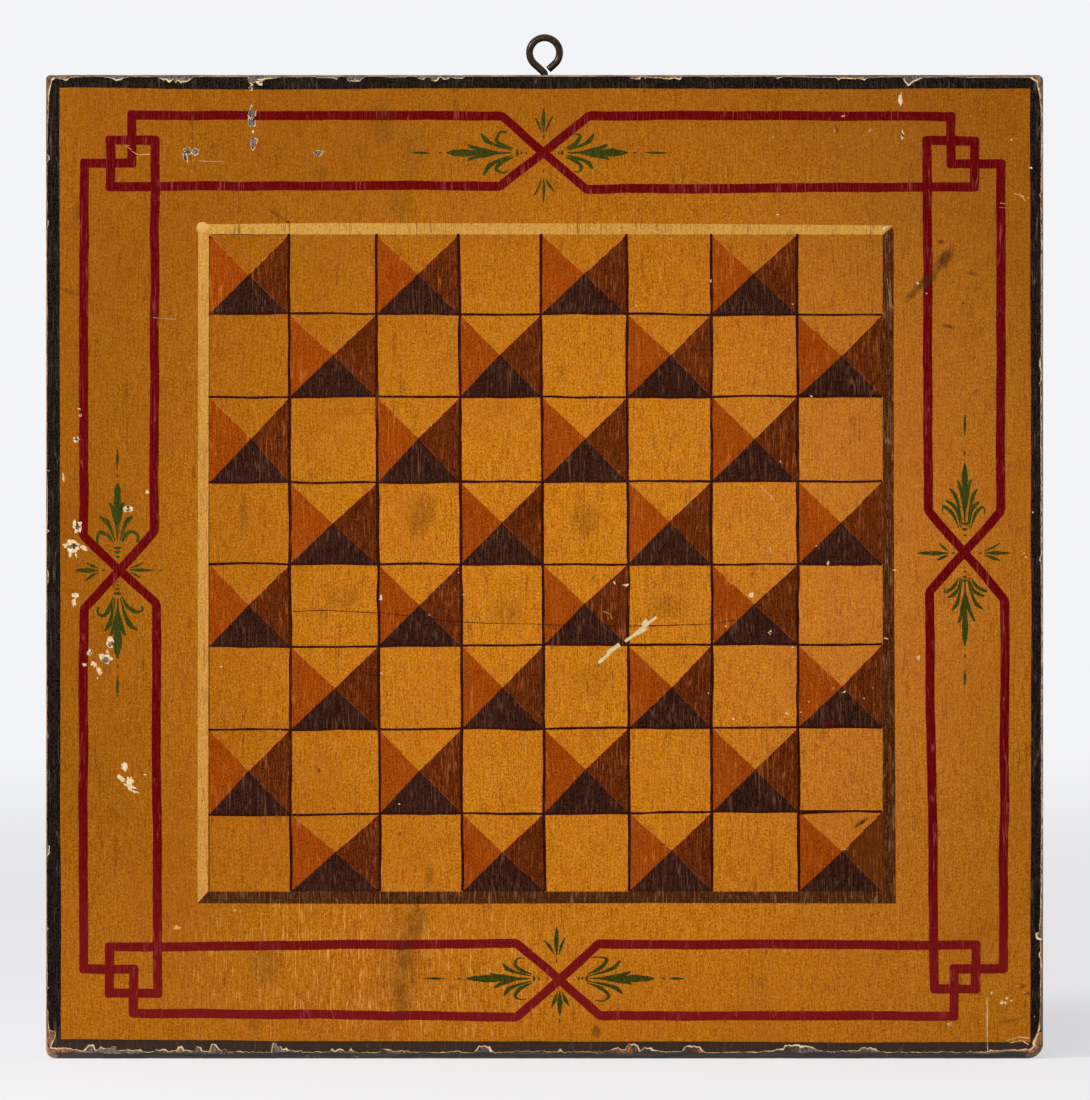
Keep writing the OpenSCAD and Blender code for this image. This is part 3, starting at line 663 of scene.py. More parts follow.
def paint_rim(depths, width, base, seed):
    """The same wear for the priming, which reaches past the paint by its own ragged rim,
    broader round the deeper chips."""
    rims = []
    for i in range(len(depths)):
        rim = width + 0.3 * min(max(depths[i] - base - 0.4, 0), 1.2)
        rim *= 1 + 0.9 * wobble(i * EDGE_STEP, 3.5, seed) + 0.5 * wobble(i * EDGE_STEP, 1.2, seed + 1)
        rim = max(rim, 0.04)
        reach = math.ceil(rim / EDGE_STEP)
        best = depths[i] - rim
        for k in range(-reach, reach + 1):
            if 0 <= i + k < len(depths) and abs(k * EDGE_STEP) < rim:
                best = min(best, depths[i + k] - math.sqrt(rim ** 2 - (k * EDGE_STEP) ** 2))
        rims.append(best)
    return rims


# The four edges: the radius of the front arris, how far in from the edge the paint starts
# where it is whole, and how wide the priming shows past the paint there
ARRIS = {"top": 0.7, "right": 0.6, "bottom": 2.9, "left": 0.5}
EDGE_BASE = {"top": 0.9, "right": 1.1, "bottom": 3.2, "left": 0.5}
RIM = {"top": 0.14, "right": 0.42, "bottom": 0.26, "left": 0.12}
EDGE_WEAR = {"top": TOP_WEAR, "right": RIGHT_WEAR, "bottom": BOTTOM_WEAR, "left": LEFT_WEAR}
# How far each corner is worn off, along x and along z
CORNER_WEAR = {("left", "top"): (8.0, 9.0), ("right", "top"): (9.0, 10.0),
               ("left", "bottom"): (8.5, 12.0), ("right", "bottom"): (14.0, 15.0)}
# How far the outlines that trim the coats reach past the panel
PAST = 6.0


def along_side(side):
    """Where a side of the panel starts, and its length."""
    return (-HALF_W, 2 * HALF_W) if side in ("top", "bottom") else (0, TOP)


def edge_outline(side, depths):
    """What lies outside the depths along one side of the panel."""
    start, length = along_side(side)
    outline = []
    for i, depth in enumerate(depths):
        s = start + i * EDGE_STEP
        outline.append({"top": (s, TOP - depth), "bottom": (s, depth),
                        "left": (depth - HALF_W, s), "right": (HALF_W - depth, s)}[side])
    far = {"top": TOP + PAST, "bottom": -PAST, "left": -HALF_W - PAST, "right": HALF_W + PAST}[side]
    first, last = start - PAST, start + length + PAST
    if side in ("top", "bottom"):
        return [(first, outline[0][1])] + outline + [(last, outline[-1][1]), (last, far), (first, far)]
    return [(outline[0][0], first)] + outline + [(outline[-1][0], last), (far, last), (far, first)]


def corner_outline(side_x, side_z, back, seed):
    """What is worn off a corner of the panel, less a strip of width back."""
    wear_x, wear_z = CORNER_WEAR[side_x, side_z]
    sign_x = -1 if side_x == "left" else 1
    corner_z, sign_z = (TOP, 1) if side_z == "top" else (0.0, -1)
    far_x, far_z = sign_x * (HALF_W + PAST), corner_z + sign_z * PAST
    outline = []
    steps = 16
    for i in range(steps + 1):
        a = math.radians(90 * i / steps)
        jag = 1 + 0.22 * wobble(i, 2.2, seed)
        u = wear_x * (1 - math.sin(a)) * jag - back
        v = wear_z * (1 - math.cos(a)) * jag - back
        u += EDGE_BASE[side_x] * 0.4
        v += EDGE_BASE[side_z] * 0.4
        outline.append((sign_x * (HALF_W - u), corner_z - sign_z * v))
    return [(far_x, far_z), (outline[0][0], far_z)] + outline + [(far_x, outline[-1][1])]


def edge_cuts(rim):
    """Outlines that trim a coat along the panel's edges, or the priming where rim is true."""
    cuts = []
    for k, (side, wear) in enumerate(EDGE_WEAR.items()):
        depths = edge_wear(*along_side(side), wear, 11.0 + 3 * k)
        if rim:
            depths = paint_rim(depths, RIM[side], EDGE_BASE[side], 40.0 + 3 * k)
            depths = [max(d, ARRIS[side] - 0.2) for d in depths]
        cuts.append(edge_outline(side, depths))
    for k, corner in enumerate(CORNER_WEAR):
        cuts.append(corner_outline(*corner, 0.6 if rim else 0.0, 60 + k))
    return cuts


# Chips inside the face: x, z, width and height, then the turn and how much of the chip shows
# bare wood, each 0 where it is left out
FACE_CHIPS = [
    (-211.4, 239.6, 4.2, 6.1, 10, 0.45), (-213.9, 230.7, 6.6, 4.4, -10, 0.4),
    (-208.6, 229.9, 4.6, 1.5, -24), (-214.6, 226.7, 1.6, 2.2, 10), (-211.8, 226.6, 0.8, 3.2, 10),
    (-188.3, 247.7, 3.8, 3.6, 20, 0.4), (-212.2, 208.3, 3.0, 2.4), (-212.8, 205.1, 2.2, 3.7),
    (-196.4, 186.9, 3.4, 5.0, 15, 0.42), (-205.7, 182.3, 2.4, 3.4, 0, 0.2),
    (-198.8, 179.5, 6.3, 4.0, -30, 0.4), (-197.6, 182.7, 1.2, 2.0), (-207.8, 177.0, 2.2, 1.9),
    (-203.6, 177.0, 2.4, 3.0, 40), (-201.6, 174.2, 2.4, 4.0, 20), (-202.1, 170.9, 0.9, 0.9),
    (-217.5, 261.6, 1.3, 3.2, 10), (-179.6, 255.2, 1.5, 2.2), (-224.0, 264.8, 0.6, 0.6),
    (-189.7, 130.5, 2.9, 3.9, 5), (-191.2, 125.4, 5.4, 1.8, -42), (-187.4, 124.2, 2.9, 3.9),
    (-186.1, 120.5, 7.8, 2.5, -33, 0.25), (-180.6, 127.2, 1.3, 0.8), (-211.6, 279.0, 3.3, 2.5, -25, 0.35),
    (-210.6, 292.9, 1.7, 0.6, -25), (-209.9, 289.9, 1.5, 1.2, 20, 0.3), (148.1, 419.0, 1.9, 1.3, 20, 0.5),
    (154.8, 375.0, 2.6, 1.4, 30), (-129.0, 375.7, 0.4, 1.3), (-128.0, 375.7, 0.4, 1.2),
    (-132.4, 442.4, 3.0, 3.4, 0, 0.8), (-132.6, 438.9, 2.2, 2.6, 0, 0.5), (-132.4, 437.2, 0.9, 1.2),
    (-128.5, 440.8, 3.0, 2.0, 0, 0.3), (-132.4, 429.6, 1.6, 1.6, 0, 0.5),
    (-132.2, 426.8, 3.6, 5.2, 5, 0.88), (-132.3, 422.4, 3.4, 5.0, -8, 0.88), (-131.6, 418.3, 1.2, 1.6),
    (-131.4, 413.8, 2.8, 5.2, 4, 0.7), (-161.4, 409.4, 4.2, 3.2, 20, 0.85),
    (-157.8, 409.5, 4.2, 2.8, 0, 0.85), (-162.4, 406.6, 2.4, 3.6, 10, 0.7),
    (-101.6, 408.7, 3.8, 2.6, 0, 0.88), (161.7, 432.9, 1.8, 5.4), (131.9, 419.0, 0.5, 1.5, 15),
    (162.5, 416.8, 1.3, 4.6, 0, 0.5), (-166.2, 58.0, 3.4, 1.7, -10), (37.4, 213.1, 3.0, 1.0, 5),
    (32.1, 214.0, 0.8, 1.6, 30), (94.0, 208.7, 2.3, 2.3), (85.9, 152.4, 1.3, 1.5),
    (82.5, 194.4, 1.0, 0.9), (24.9, 151.0, 0.8, 0.7), (74.6, 164.0, 0.6, 0.9),
    (169.8, 180.2, 1.5, 2.3, 10), (217.6, 227.6, 1.6, 0.8, 40), (218.4, 225.6, 0.7, 1.6, 20),
    (220.8, 402.0, 1.5, 1.1), (211.9, 414.8, 0.8, 0.8), (221.5, 246.0, 0.9, 0.8),
    (217.8, 28.4, 1.6, 0.5, 10), (214.6, 31.4, 0.5, 1.2, 10), (202.9, 28.2, 0.8, 1.6),
    (207.5, 24.0, 1.8, 1.4), (209.7, 25.8, 1.4, 1.4, 20), (209.2, 23.8, 1.2, 1.4),
    (211.8, 24.8, 1.6, 0.6, 15), (183.9, 14.2, 2.0, 1.4, 10, 0.4), (222.3, 17.6, 0.8, 0.8),
    (75.7, 350.9, 0.8, 1.5), (112.8, 340.3, 0.9, 0.7), (121.1, 298.7, 1.4, 0.6, -30),
    (41.8, 339.6, 0.9, 0.6), (169.3, 349.9, 0.8, 1.7, 20), (173.4, 345.2, 0.9, 0.8),
    (102.9, 228.9, 0.6, 2.6, 10), (123.5, 230.8, 1.0, 0.7, 30), (128.9, 222.9, 0.9, 2.0, -10),
    (134.5, 221.8, 0.9, 0.5), (158.9, 219.8, 1.8, 0.8), (155.1, 188.9, 2.0, 0.8, -15),
    (102.6, 191.5, 2.0, 1.5, 0, 0.4), (135.9, 164.6, 1.8, 0.9, 10), (148.9, 166.4, 1.2, 0.4, 20),
    (145.2, 161.8, 0.8, 0.7), (131.2, 166.4, 0.4, 2.2, -15), (120.1, 160.1, 0.8, 0.5),
    (116.6, 155.5, 0.7, 0.7), (110.2, 155.0, 1.7, 1.2), (-73.9, 207.3, 1.1, 3.0, -15),
    (-51.9, 199.5, 0.6, 0.6), (-38.6, 218.7, 0.7, 0.5), (-36.5, 208.7, 1.0, 0.6),
    (-65.5, 113.8, 0.9, 0.8), (112.7, 185.0, 1.1, 0.8), (-73.5, 173.1, 1.0, 0.8),
    (-146.1, 176.1, 1.1, 0.8), (107.2, 269.0, 0.7, 1.0), (-76.5, 184.3, 0.6, 0.6),
    (135.6, 425.5, 1.5, 1.0), (135.0, 411.8, 0.8, 0.7), (137.6, 402.3, 1.2, 0.8, 20, 0.4),
    (103.9, 415.9, 1.1, 0.6, 10), (105.9, 380.9, 1.2, 0.6, 10), (136.5, 93.4, 1.1, 0.8, 20, 0.5),
    (-119.4, 147.1, 0.6, 0.8), (-139.8, 65.7, 1.2, 0.8)]

# The pale scrape near the middle: from, to, width
SCRAPE = [
    ((24.4, 178.2), (29.6, 182.4), 1.5), ((29.0, 181.8), (34.6, 186.0), 1.9),
    ((36.8, 187.6), (42.4, 191.8), 1.7), ((41.8, 191.2), (46.0, 194.4), 2.2),
    ((44.6, 194.4), (47.4, 196.4), 2.9), ((46.8, 195.6), (51.0, 198.8), 1.6)]

# Fine scratches: from, to, width
SCRATCHES = [
    ((-190.0, 412.4), (-186.6, 410.0), 0.3), ((-186.6, 410.0), (-183.1, 408.1), 0.35),
    ((-183.1, 408.1), (-178.3, 408.4), 0.4), ((-184.0, 407.4), (-183.9, 405.8), 0.25),
    ((-188.6, 412.6), (-187.4, 412.3), 0.3), ((-156.2, 405.6), (-144.6, 404.9), 0.26),
    ((200.5, 26.4), (200.9, 2.0), 0.5), ((26.8, 201.6), (30.0, 200.4), 0.22),
    ((30.0, 200.4), (31.4, 197.8), 0.2), ((213.1, 390.7), (214.8, 389.9), 0.35),
    ((214.9, 390.0), (215.9, 390.6), 0.45), ((215.2, 389.6), (217.3, 388.4), 0.9),
    ((217.3, 388.4), (218.5, 387.3), 0.7), ((218.8, 388.8), (219.9, 387.9), 0.45),
    ((206.6, 386.4), (209.4, 386.0), 0.2), ((206.4, 384.6), (209.6, 384.4), 0.22),
    ((209.6, 6.8), (214.2, 8.2), 0.55), ((214.2, 8.2), (220.0, 7.4), 0.5),
    ((211.4, 5.2), (217.0, 6.4), 0.4), ((217.0, 6.4), (219.6, 4.6), 0.5),
    ((-177.0, 334.2), (-166.5, 333.6), 0.24), ((155.2, 352.0), (156.6, 339.0), 0.2),
    ((97.6, 258.6), (104.4, 251.6), 0.2)]

# The long hairline crack across the field, drawn as a thin dark line
CRACK = [
    (-113.5, 200.8), (-94, 201.3), (-74.5, 200.4), (-38, 196.3), (0.6, 194.9), (38, 194.6), (76.3, 195.3),
    (87, 197.2)]


# The painted shapes are set on the board a little smaller and higher than they are drawn here
DRAWN_SCALE = 0.996
DRAWN_X, DRAWN_Z = -0.45, 1.62


def on_board(outline):
    return [Vector((p[0] * DRAWN_SCALE + DRAWN_X, p[1] * DRAWN_SCALE + DRAWN_Z)) for p in outline]


def chip_cuts(wood):
    """Outlines of what has chipped off: down to the priming, or where wood is true through
    the priming as well."""
    cuts = []
    for k, (x, z, w, h, *more) in enumerate(FACE_CHIPS):
        turn, share = (more + [0, 0])[:2]
        if not wood:
            cuts.append(blob(x, z, w, h, 3 + k, turn, rough=0.5, points=22))
        elif share > 0.6:
            cuts.append(blob(x, z, w - 0.5, h - 0.5, 3 + k, turn, rough=0.5))
        elif share > 0:
            size = math.sqrt(share)
            cuts.append(blob(x + 0.1 * w, z - 0.05 * h, w * size, h * size * 0.8, 80 + k, turn + 15,
                             rough=0.7))
    if not wood:
        cuts += [stroke(a, b, w, 200 + k, sway=0.5, uneven=0.9, round_r=0.5, step=0.7)
                 for k, (a, b, w) in enumerate(SCRAPE)]
        cuts += [stroke(a, b, w, 300 + k, sway=0.8, uneven=1.1, round_r=0.1, step=1.1)
                 for k, (a, b, w) in enumerate(SCRATCHES)]
    return [on_board(cut) for cut in cuts]


CHIP_CUTS = chip_cuts(False)
PAINT_CUTS = edge_cuts(False) + CHIP_CUTS
PANEL_OUTLINE = [(-HALF_W, 0), (HALF_W, 0), (HALF_W, TOP), (-HALF_W, TOP)]


def coat(name, shapes, cuts, back_y, front_y, material, node, slot):
    piece = thin_coat(name, shapes, cuts, back_y, front_y)
    piece.data.materials.append(material)
    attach(piece, "panel")
    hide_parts(node)


# The playing field, painted by hand: its lines aren't quite even or upright

FIELD_LEFT, FIELD_RIGHT, FIELD_TOP, FIELD_BOTTOM = -151.5, 153.6, 371.8, 74.2
# Each upright line's x at the top and bottom of the field, and each level line's z at its ends
UPRIGHTS = [
    (-115.3, -114.4), (-75.9, -74.1), (-38.3, -36.6), (-1.2, 0.6), (37.8, 38.7), (75.9, 76.4),
    (114.8, 115.6)]
LEVELS = [
    (335.8, 335.6), (298.1, 298.4), (259.2, 260.1), (222.6, 222.4), (185.2, 186.2), (147.4, 148.6),
    (108.9, 110.6)]
SQUARES = 8
# Widths of the light band, at its left and top, and of the dark band, at its right and bottom
BAND_LEFT, BAND_TOP, BAND_RIGHT, BAND_BOTTOM = 5.1, 5.0, 5.3, 5.4


def line_x(i, z):
    """The x of the field's upright line i at height z. Lines 0 and 8 are its sides."""
    if i == 0:
        return FIELD_LEFT
    if i == SQUARES:
        return FIELD_RIGHT
    top, bottom = UPRIGHTS[i - 1]
    return lerp(bottom, top, (z - FIELD_BOTTOM) / (FIELD_TOP - FIELD_BOTTOM))


def line_z(i, x):
    """The z of the field's level line i, counted from the top, at x."""
    if i == 0:
        return FIELD_TOP
    if i == SQUARES:
        return FIELD_BOTTOM
    left, right = LEVELS[i - 1]
    return lerp(left, right, (x - FIELD_LEFT) / (FIELD_RIGHT - FIELD_LEFT))


def crossing_point(column, row):
    z = line_z(row, 0)
    x = line_x(column, z)
    return Vector((x, line_z(row, x)))


def rough_triangle(a, b, c, inset, seed):
    """A triangle's outline drawn in by inset, its sides slightly unsteady."""
    corners = [Vector(a), Vector(b), Vector(c)]
    centre = sum(corners, Vector((0, 0))) / 3
    corners = [p + (centre - p).normalized() * inset for p in corners]
    outline = []
    for k in range(3):
        p, q = corners[k], corners[(k + 1) % 3]
        across = Vector((p.y - q.y, q.x - p.x)).normalized()
        steps = 9
        for i in range(steps):
            sway = 0.12 * wobble(i * 3, 4, seed + k) if i else 0
            outline.append(p.lerp(q, i / steps) + across * sway)
    return outline


def facet_peak(corners, row, column):
    """The peak of a painted pyramid, near its square's middle."""
    rng = random.Random(7 + 8 * row + column)
    return sum(corners, Vector((0, 0))) / 4 + Vector((rng.uniform(-0.7, 0.9), rng.uniform(-0.3, 0.8)))


def painted_squares():
    """Row, column, corners and peak of each square that is painted as a pyramid."""
    for row in range(SQUARES):
        for column in range(row % 2, SQUARES, 2):
            corners = [crossing_point(column + i, row + k) for i, k in ((0, 0), (1, 0), (0, 1), (1, 1))]
            yield row, column, corners, facet_peak(corners, row, column)


def facet_shapes():
    """The left, right and lower facets of every painted pyramid."""
    left, right, lower = [], [], []
    for row, column, (tl, tr, bl, br), peak in painted_squares():
        seed = 400 + row * 31 + column * 7
        left.append(rough_triangle(tl, bl, peak, 0.05, seed))
        right.append(rough_triangle(tr, peak, br, 0.02, seed + 3))
        lower.append(rough_triangle(bl, br, peak, 0.02, seed + 5))
    return left, right, lower


def facet_edges(upper):
    """Thin lines a little lighter than the facets, along the facets' slanting sides, of the upper or lower
    halves.
    """
    rng = random.Random(12 if upper else 13)
    shapes = []
    for _, _, corners, peak in painted_squares():
        for corner in corners[:2] if upper else corners[2:]:
            t = rng.uniform(0.06, 0.2)
            while t < 0.9:
                end = min(t + rng.uniform(0.08, 0.4), 0.97)
                a, b = corner.lerp(peak, t), corner.lerp(peak, end)
                shapes.append(stroke(a, b, rng.uniform(0.18, 0.42), 1200 + 4 * len(shapes), sway=0.1,
                                     uneven=0.7, round_r=0.12, step=2))
                t = end + rng.uniform(0.03, 0.2)
    return shapes


def field_lines():
    """The thin dark lines between the squares, and the long crack."""
    shapes = []
    for i in range(1, SQUARES):
        start = (line_x(i, FIELD_TOP) - 0.1, FIELD_TOP + 0.3)
        end = (line_x(i, FIELD_BOTTOM), FIELD_BOTTOM + 0.2)
        shapes.append(stroke(start, end, 1.3, 500 + i, sway=0.5, uneven=0.45, round_r=0.3, step=3))
        start = (FIELD_LEFT - 0.3, line_z(i, FIELD_LEFT))
        end = (FIELD_RIGHT - 0.3, line_z(i, FIELD_RIGHT))
        shapes.append(stroke(start, end, 1.0, 540 + i, sway=0.6, uneven=0.5, round_r=0.35, step=3))
    mark = line_x(1, FIELD_TOP) + 0.1
    shapes.append(stroke((mark, FIELD_TOP + 5.6), (mark + 0.1, FIELD_TOP), 0.3, 520, uneven=0.8, step=1))
    shapes.append(blob(mark - 0.6, FIELD_TOP + 5.7, 1.5, 0.7, 530, turn=-15, points=10))
    corner = (FIELD_LEFT, FIELD_TOP - 0.1)
    shapes.append(stroke(corner, (FIELD_LEFT, FIELD_BOTTOM), 0.22, 561, uneven=0.9, step=3))
    shapes.append(stroke(corner, (line_x(1, FIELD_TOP), FIELD_TOP), 0.26, 562, uneven=0.9, step=3))
    shapes.append(stroke((115.5, 109.3), (153.2, 110.8), 0.7, 565, sway=0.4, uneven=0.6, step=3))
    for k, (a, b) in enumerate(zip(CRACK, CRACK[1:])):
        shapes.append(stroke(a, b, 0.3, 570 + k, sway=0.5, uneven=1.2, round_r=0.1, step=1.3))
    return shapes


def light_band_shapes():
    left, top = FIELD_LEFT - BAND_LEFT, FIELD_TOP + BAND_TOP
    upright = [(left + 0.2, top - 4), (FIELD_LEFT, FIELD_TOP - 3), (FIELD_LEFT - 0.6, FIELD_BOTTOM),
               (left - 0.1, FIELD_BOTTOM - 5.2)]
    level = [(left + 3, top - 0.3), (left + 60, top + 0.2), (left + 200, top),
             (FIELD_RIGHT + 4.9, top - 0.9), (FIELD_RIGHT, FIELD_TOP), (FIELD_LEFT - 1, FIELD_TOP)]
    joint = [(left, top - 6), (left + 4, top - 0.2), (FIELD_LEFT + 1, FIELD_TOP + 0.2),
             (FIELD_LEFT, FIELD_TOP - 4)]
    return [upright, level, joint, blob(left + 2.1, top - 2.0, 5.6, 5.4, 570, rough=0.12)]


def dark_band_shapes():
    right, low = FIELD_RIGHT + BAND_RIGHT, FIELD_BOTTOM - BAND_BOTTOM
    upright = [(FIELD_RIGHT, FIELD_TOP - 0.4), (FIELD_RIGHT + 4.2, FIELD_TOP + 3.4),
               (FIELD_RIGHT + 4.9, FIELD_TOP + 2), (FIELD_RIGHT + 5.0, FIELD_TOP - 120), (right + 0.6, low),
               (right, low - 0.1), (FIELD_RIGHT, FIELD_BOTTOM)]
    level = [(FIELD_LEFT - 0.6, FIELD_BOTTOM), (FIELD_LEFT - 5, low + 0.1), (-60, low - 0.2),
             (50, low + 0.2), (right + 0.6, low), (FIELD_RIGHT + 1, FIELD_BOTTOM)]
    return [upright, level]


# The red striping

STRIPE_W = 4.1
# The four upright and four level lines of each corner's knot, from the outer ones inward
KNOTS = {("left", "top"): ((-208.0, -196.4, -186.5, -176.0), (426.0, 414.4, 404.2, 393.8)),
         ("right", "top"): ((207.2, 195.3, 184.6, 173.9), (425.2, 414.2, 403.8, 393.4)),
         ("left", "bottom"): ((-208.4, -196.7, -185.8, -174.8), (19.3, 28.0, 39.1, 49.1)),
         ("right", "bottom"): ((208.3, 195.8, 185.9, 177.1), (18.0, 30.0, 39.3, 50.0))}
# The bends of each crossing's arms: left or lower ones first, outer before inner
ARMS = {"top": ((-19.1, 425.4), (-19.4, 393.7), (20.6, 425.8), (18.6, 392.3)),
        "bottom": ((-11.7, 17.5), (-11.9, 50.8), (26.0, 17.9), (24.6, 50.4)),
        "left": ((-208.4, 202.0), (-175.6, 204.7), (-208.4, 235.1), (-176.5, 237.4)),
        "right": ((209.0, 206.2), (174.6, 209.9), (206.9, 246.8), (174.4, 246.8))}


def striping_shapes():
    shapes, seed = [], 600
    half = STRIPE_W / 2
    bend = 0.4 * half
    for (side_x, side_z), (xs, zs) in KNOTS.items():
        flat, upright = ARMS[side_z], ARMS[side_x]
        outer_flat, inner_flat = flat[:2] if side_x == "left" else flat[2:]
        outer_upright, inner_upright = upright[2:] if side_z == "top" else upright[:2]
        runs = [(outer_flat, (xs[2], zs[0]), bend), ((xs[2], zs[0]), (xs[2], zs[2]), half),
                ((xs[2], zs[2]), (xs[0], zs[2]), half), (outer_upright, (xs[0], zs[2]), bend),
                (inner_flat, (xs[1], zs[3]), bend), ((xs[1], zs[3]), (xs[1], zs[1]), half),
                ((xs[1], zs[1]), (xs[3], zs[1]), half), (inner_upright, (xs[3], zs[1]), bend)]
        for a, b, start in runs:
            seed += 3
            shapes.append(stroke(a, b, STRIPE_W, seed, ext_a=start, ext_b=half - 0.1, sway=0.5,
                                 round_r=1.5))
    for arms in ARMS.values():
        for a, b in ((arms[0], arms[3]), (arms[1], arms[2])):
            seed += 3
            shapes.append(stroke(a, b, STRIPE_W - 0.2, seed, ext_a=bend, ext_b=bend, sway=0.6, round_r=0.9))
    shapes.append(blob(129.6, 150.4, 4.4, 1.7, 690, turn=-8))
    return shapes


# The green sprigs at the crossings

def turned(outline, at, turn):
    c, s = math.cos(math.radians(turn)), math.sin(math.radians(turn))
    return [Vector((at[0] + p[0] * c - p[1] * s, at[1] + p[0] * s + p[1] * c)) for p in outline]


def large_sprig(bold, blade, barbs, leaves, hooks, collar, dot, dash, seed):
    """A sprig that grows along +x, its strokes as broad as bold says. blade is its start and
    tip. The others are pairs, first the side of +y: the points of the blade's barbs, the tips
    of the side leaves, and the outer and last points of the curled strokes with the width of
    their ends. collar holds the place and length of the cross strokes, dot and dash the
    places of the marks past the tip."""
    def widths(*values):
        return [bold * w for w in values]

    base, tip = blade
    neck = barbs[0][0] - 3.5
    fore = tip - neck
    spine = [(base, 0), (lerp(base, neck, 0.5), 0.1), (neck, 0), (neck + 0.38 * fore, 0.1),
             (neck + 0.72 * fore, 0), (tip - 0.7, 0), (tip, 0)]
    shapes = [brush(spine, widths(0.5, 1.4, 2.7, 3.7, 2.8, 1.1, 0.3), seed)]
    for k, side in enumerate((1, -1)):
        x, y = barbs[k]
        barb = [(lerp(base, x, 0.3), 0.4 * side), (lerp(base, x, 0.68), 0.38 * y * side),
                (x - 1.6, (y - 1.1) * side), (x, y * side)]
        shapes.append(brush(barb, widths(0.5, 2.0, 1.6, 0.5), seed + 1 + k))
        for m, (x, y) in enumerate(leaves[k]):
            leaf = [(base - 0.4 - m * 0.6, (1.2 + 0.7 * m) * side),
                    (lerp(base, x, 0.5), (1.3 + 0.27 * (y - 1.3)) * side),
                    (lerp(base, x, 0.82), (1.3 + 0.56 * (y - 1.3)) * side), (x, y * side)]
            shapes.append(brush(leaf, widths(0.5, 1.4, 2.2, 0.9), seed + 3 + k + 2 * m))
        (x, y), (end_x, end_y), end_w = hooks[k]
        inner = 2.0 if len(leaves[k]) == 1 else 2.8
        hook = [(base - 0.9, inner * side), (lerp(base, x, 0.62), lerp(inner, y, 0.42) * side),
                (x, y * side), (lerp(x, end_x, 0.45) + 0.5, (max(y, end_y) + 0.2) * side),
                (end_x, end_y * side)]
        shapes.append(brush(hook, widths(0.5, 1.9, 1.6, lerp(end_w, 1.2, 0.4), end_w), seed + 8 + k))
    for k, (x, w) in enumerate(collar):
        thick = 0.8 if w < 2 else 1.3
        cross = [(x + 0.2, -w / 2), (x - 0.2, 0), (x + 0.2, w / 2)]
        shapes.append(brush(cross, [0.35, thick, 0.35], seed + 14 + k))
    shapes.append(brush([(dot - 0.9, 0), (dot, 0.1), (dot + 0.8, 0)], [0.4, 0.8, 0.3], seed + 20))
    start, end = dash
    shapes.append(brush([(start, 0.1), (lerp(start, end, 0.5), 0), (end, -0.1)], [0.3, 1.2, 0.3],
                        seed + 21))
    return shapes


def small_sprig(blade, width, tips, dot, seed):
    """A small three-leaved sprig that grows along +x, with the tip and width of each leaf."""
    base, tip = blade
    shapes = [brush([(base, 0), (lerp(base, tip, 0.45), 0.1), (lerp(base, tip, 0.75), 0), (tip, 0)],
                    [0.5, width, 0.7 * width, 0.3], seed)]
    for side, (x, y, w) in zip((1, -1), tips):
        leaf = [(base + 0.2, side * 1.0), (lerp(base, x, 0.55), side * lerp(1.1, y, 0.42)), (x, side * y)]
        shapes.append(brush(leaf, [0.4, w, 0.5], seed + 1 + side))
    shapes.append(brush([(dot - 0.9, 0), (dot, 0), (dot + 0.8, 0)], [0.3, 0.7, 0.3], seed + 4))
    return shapes


# The middles of the crossings
TOP_CROSS, LEFT_CROSS, RIGHT_CROSS, LOW_CROSS = (0.0, 408.8), (-193.0, 219.7), (190.8, 227.5), (7.3, 34.8)
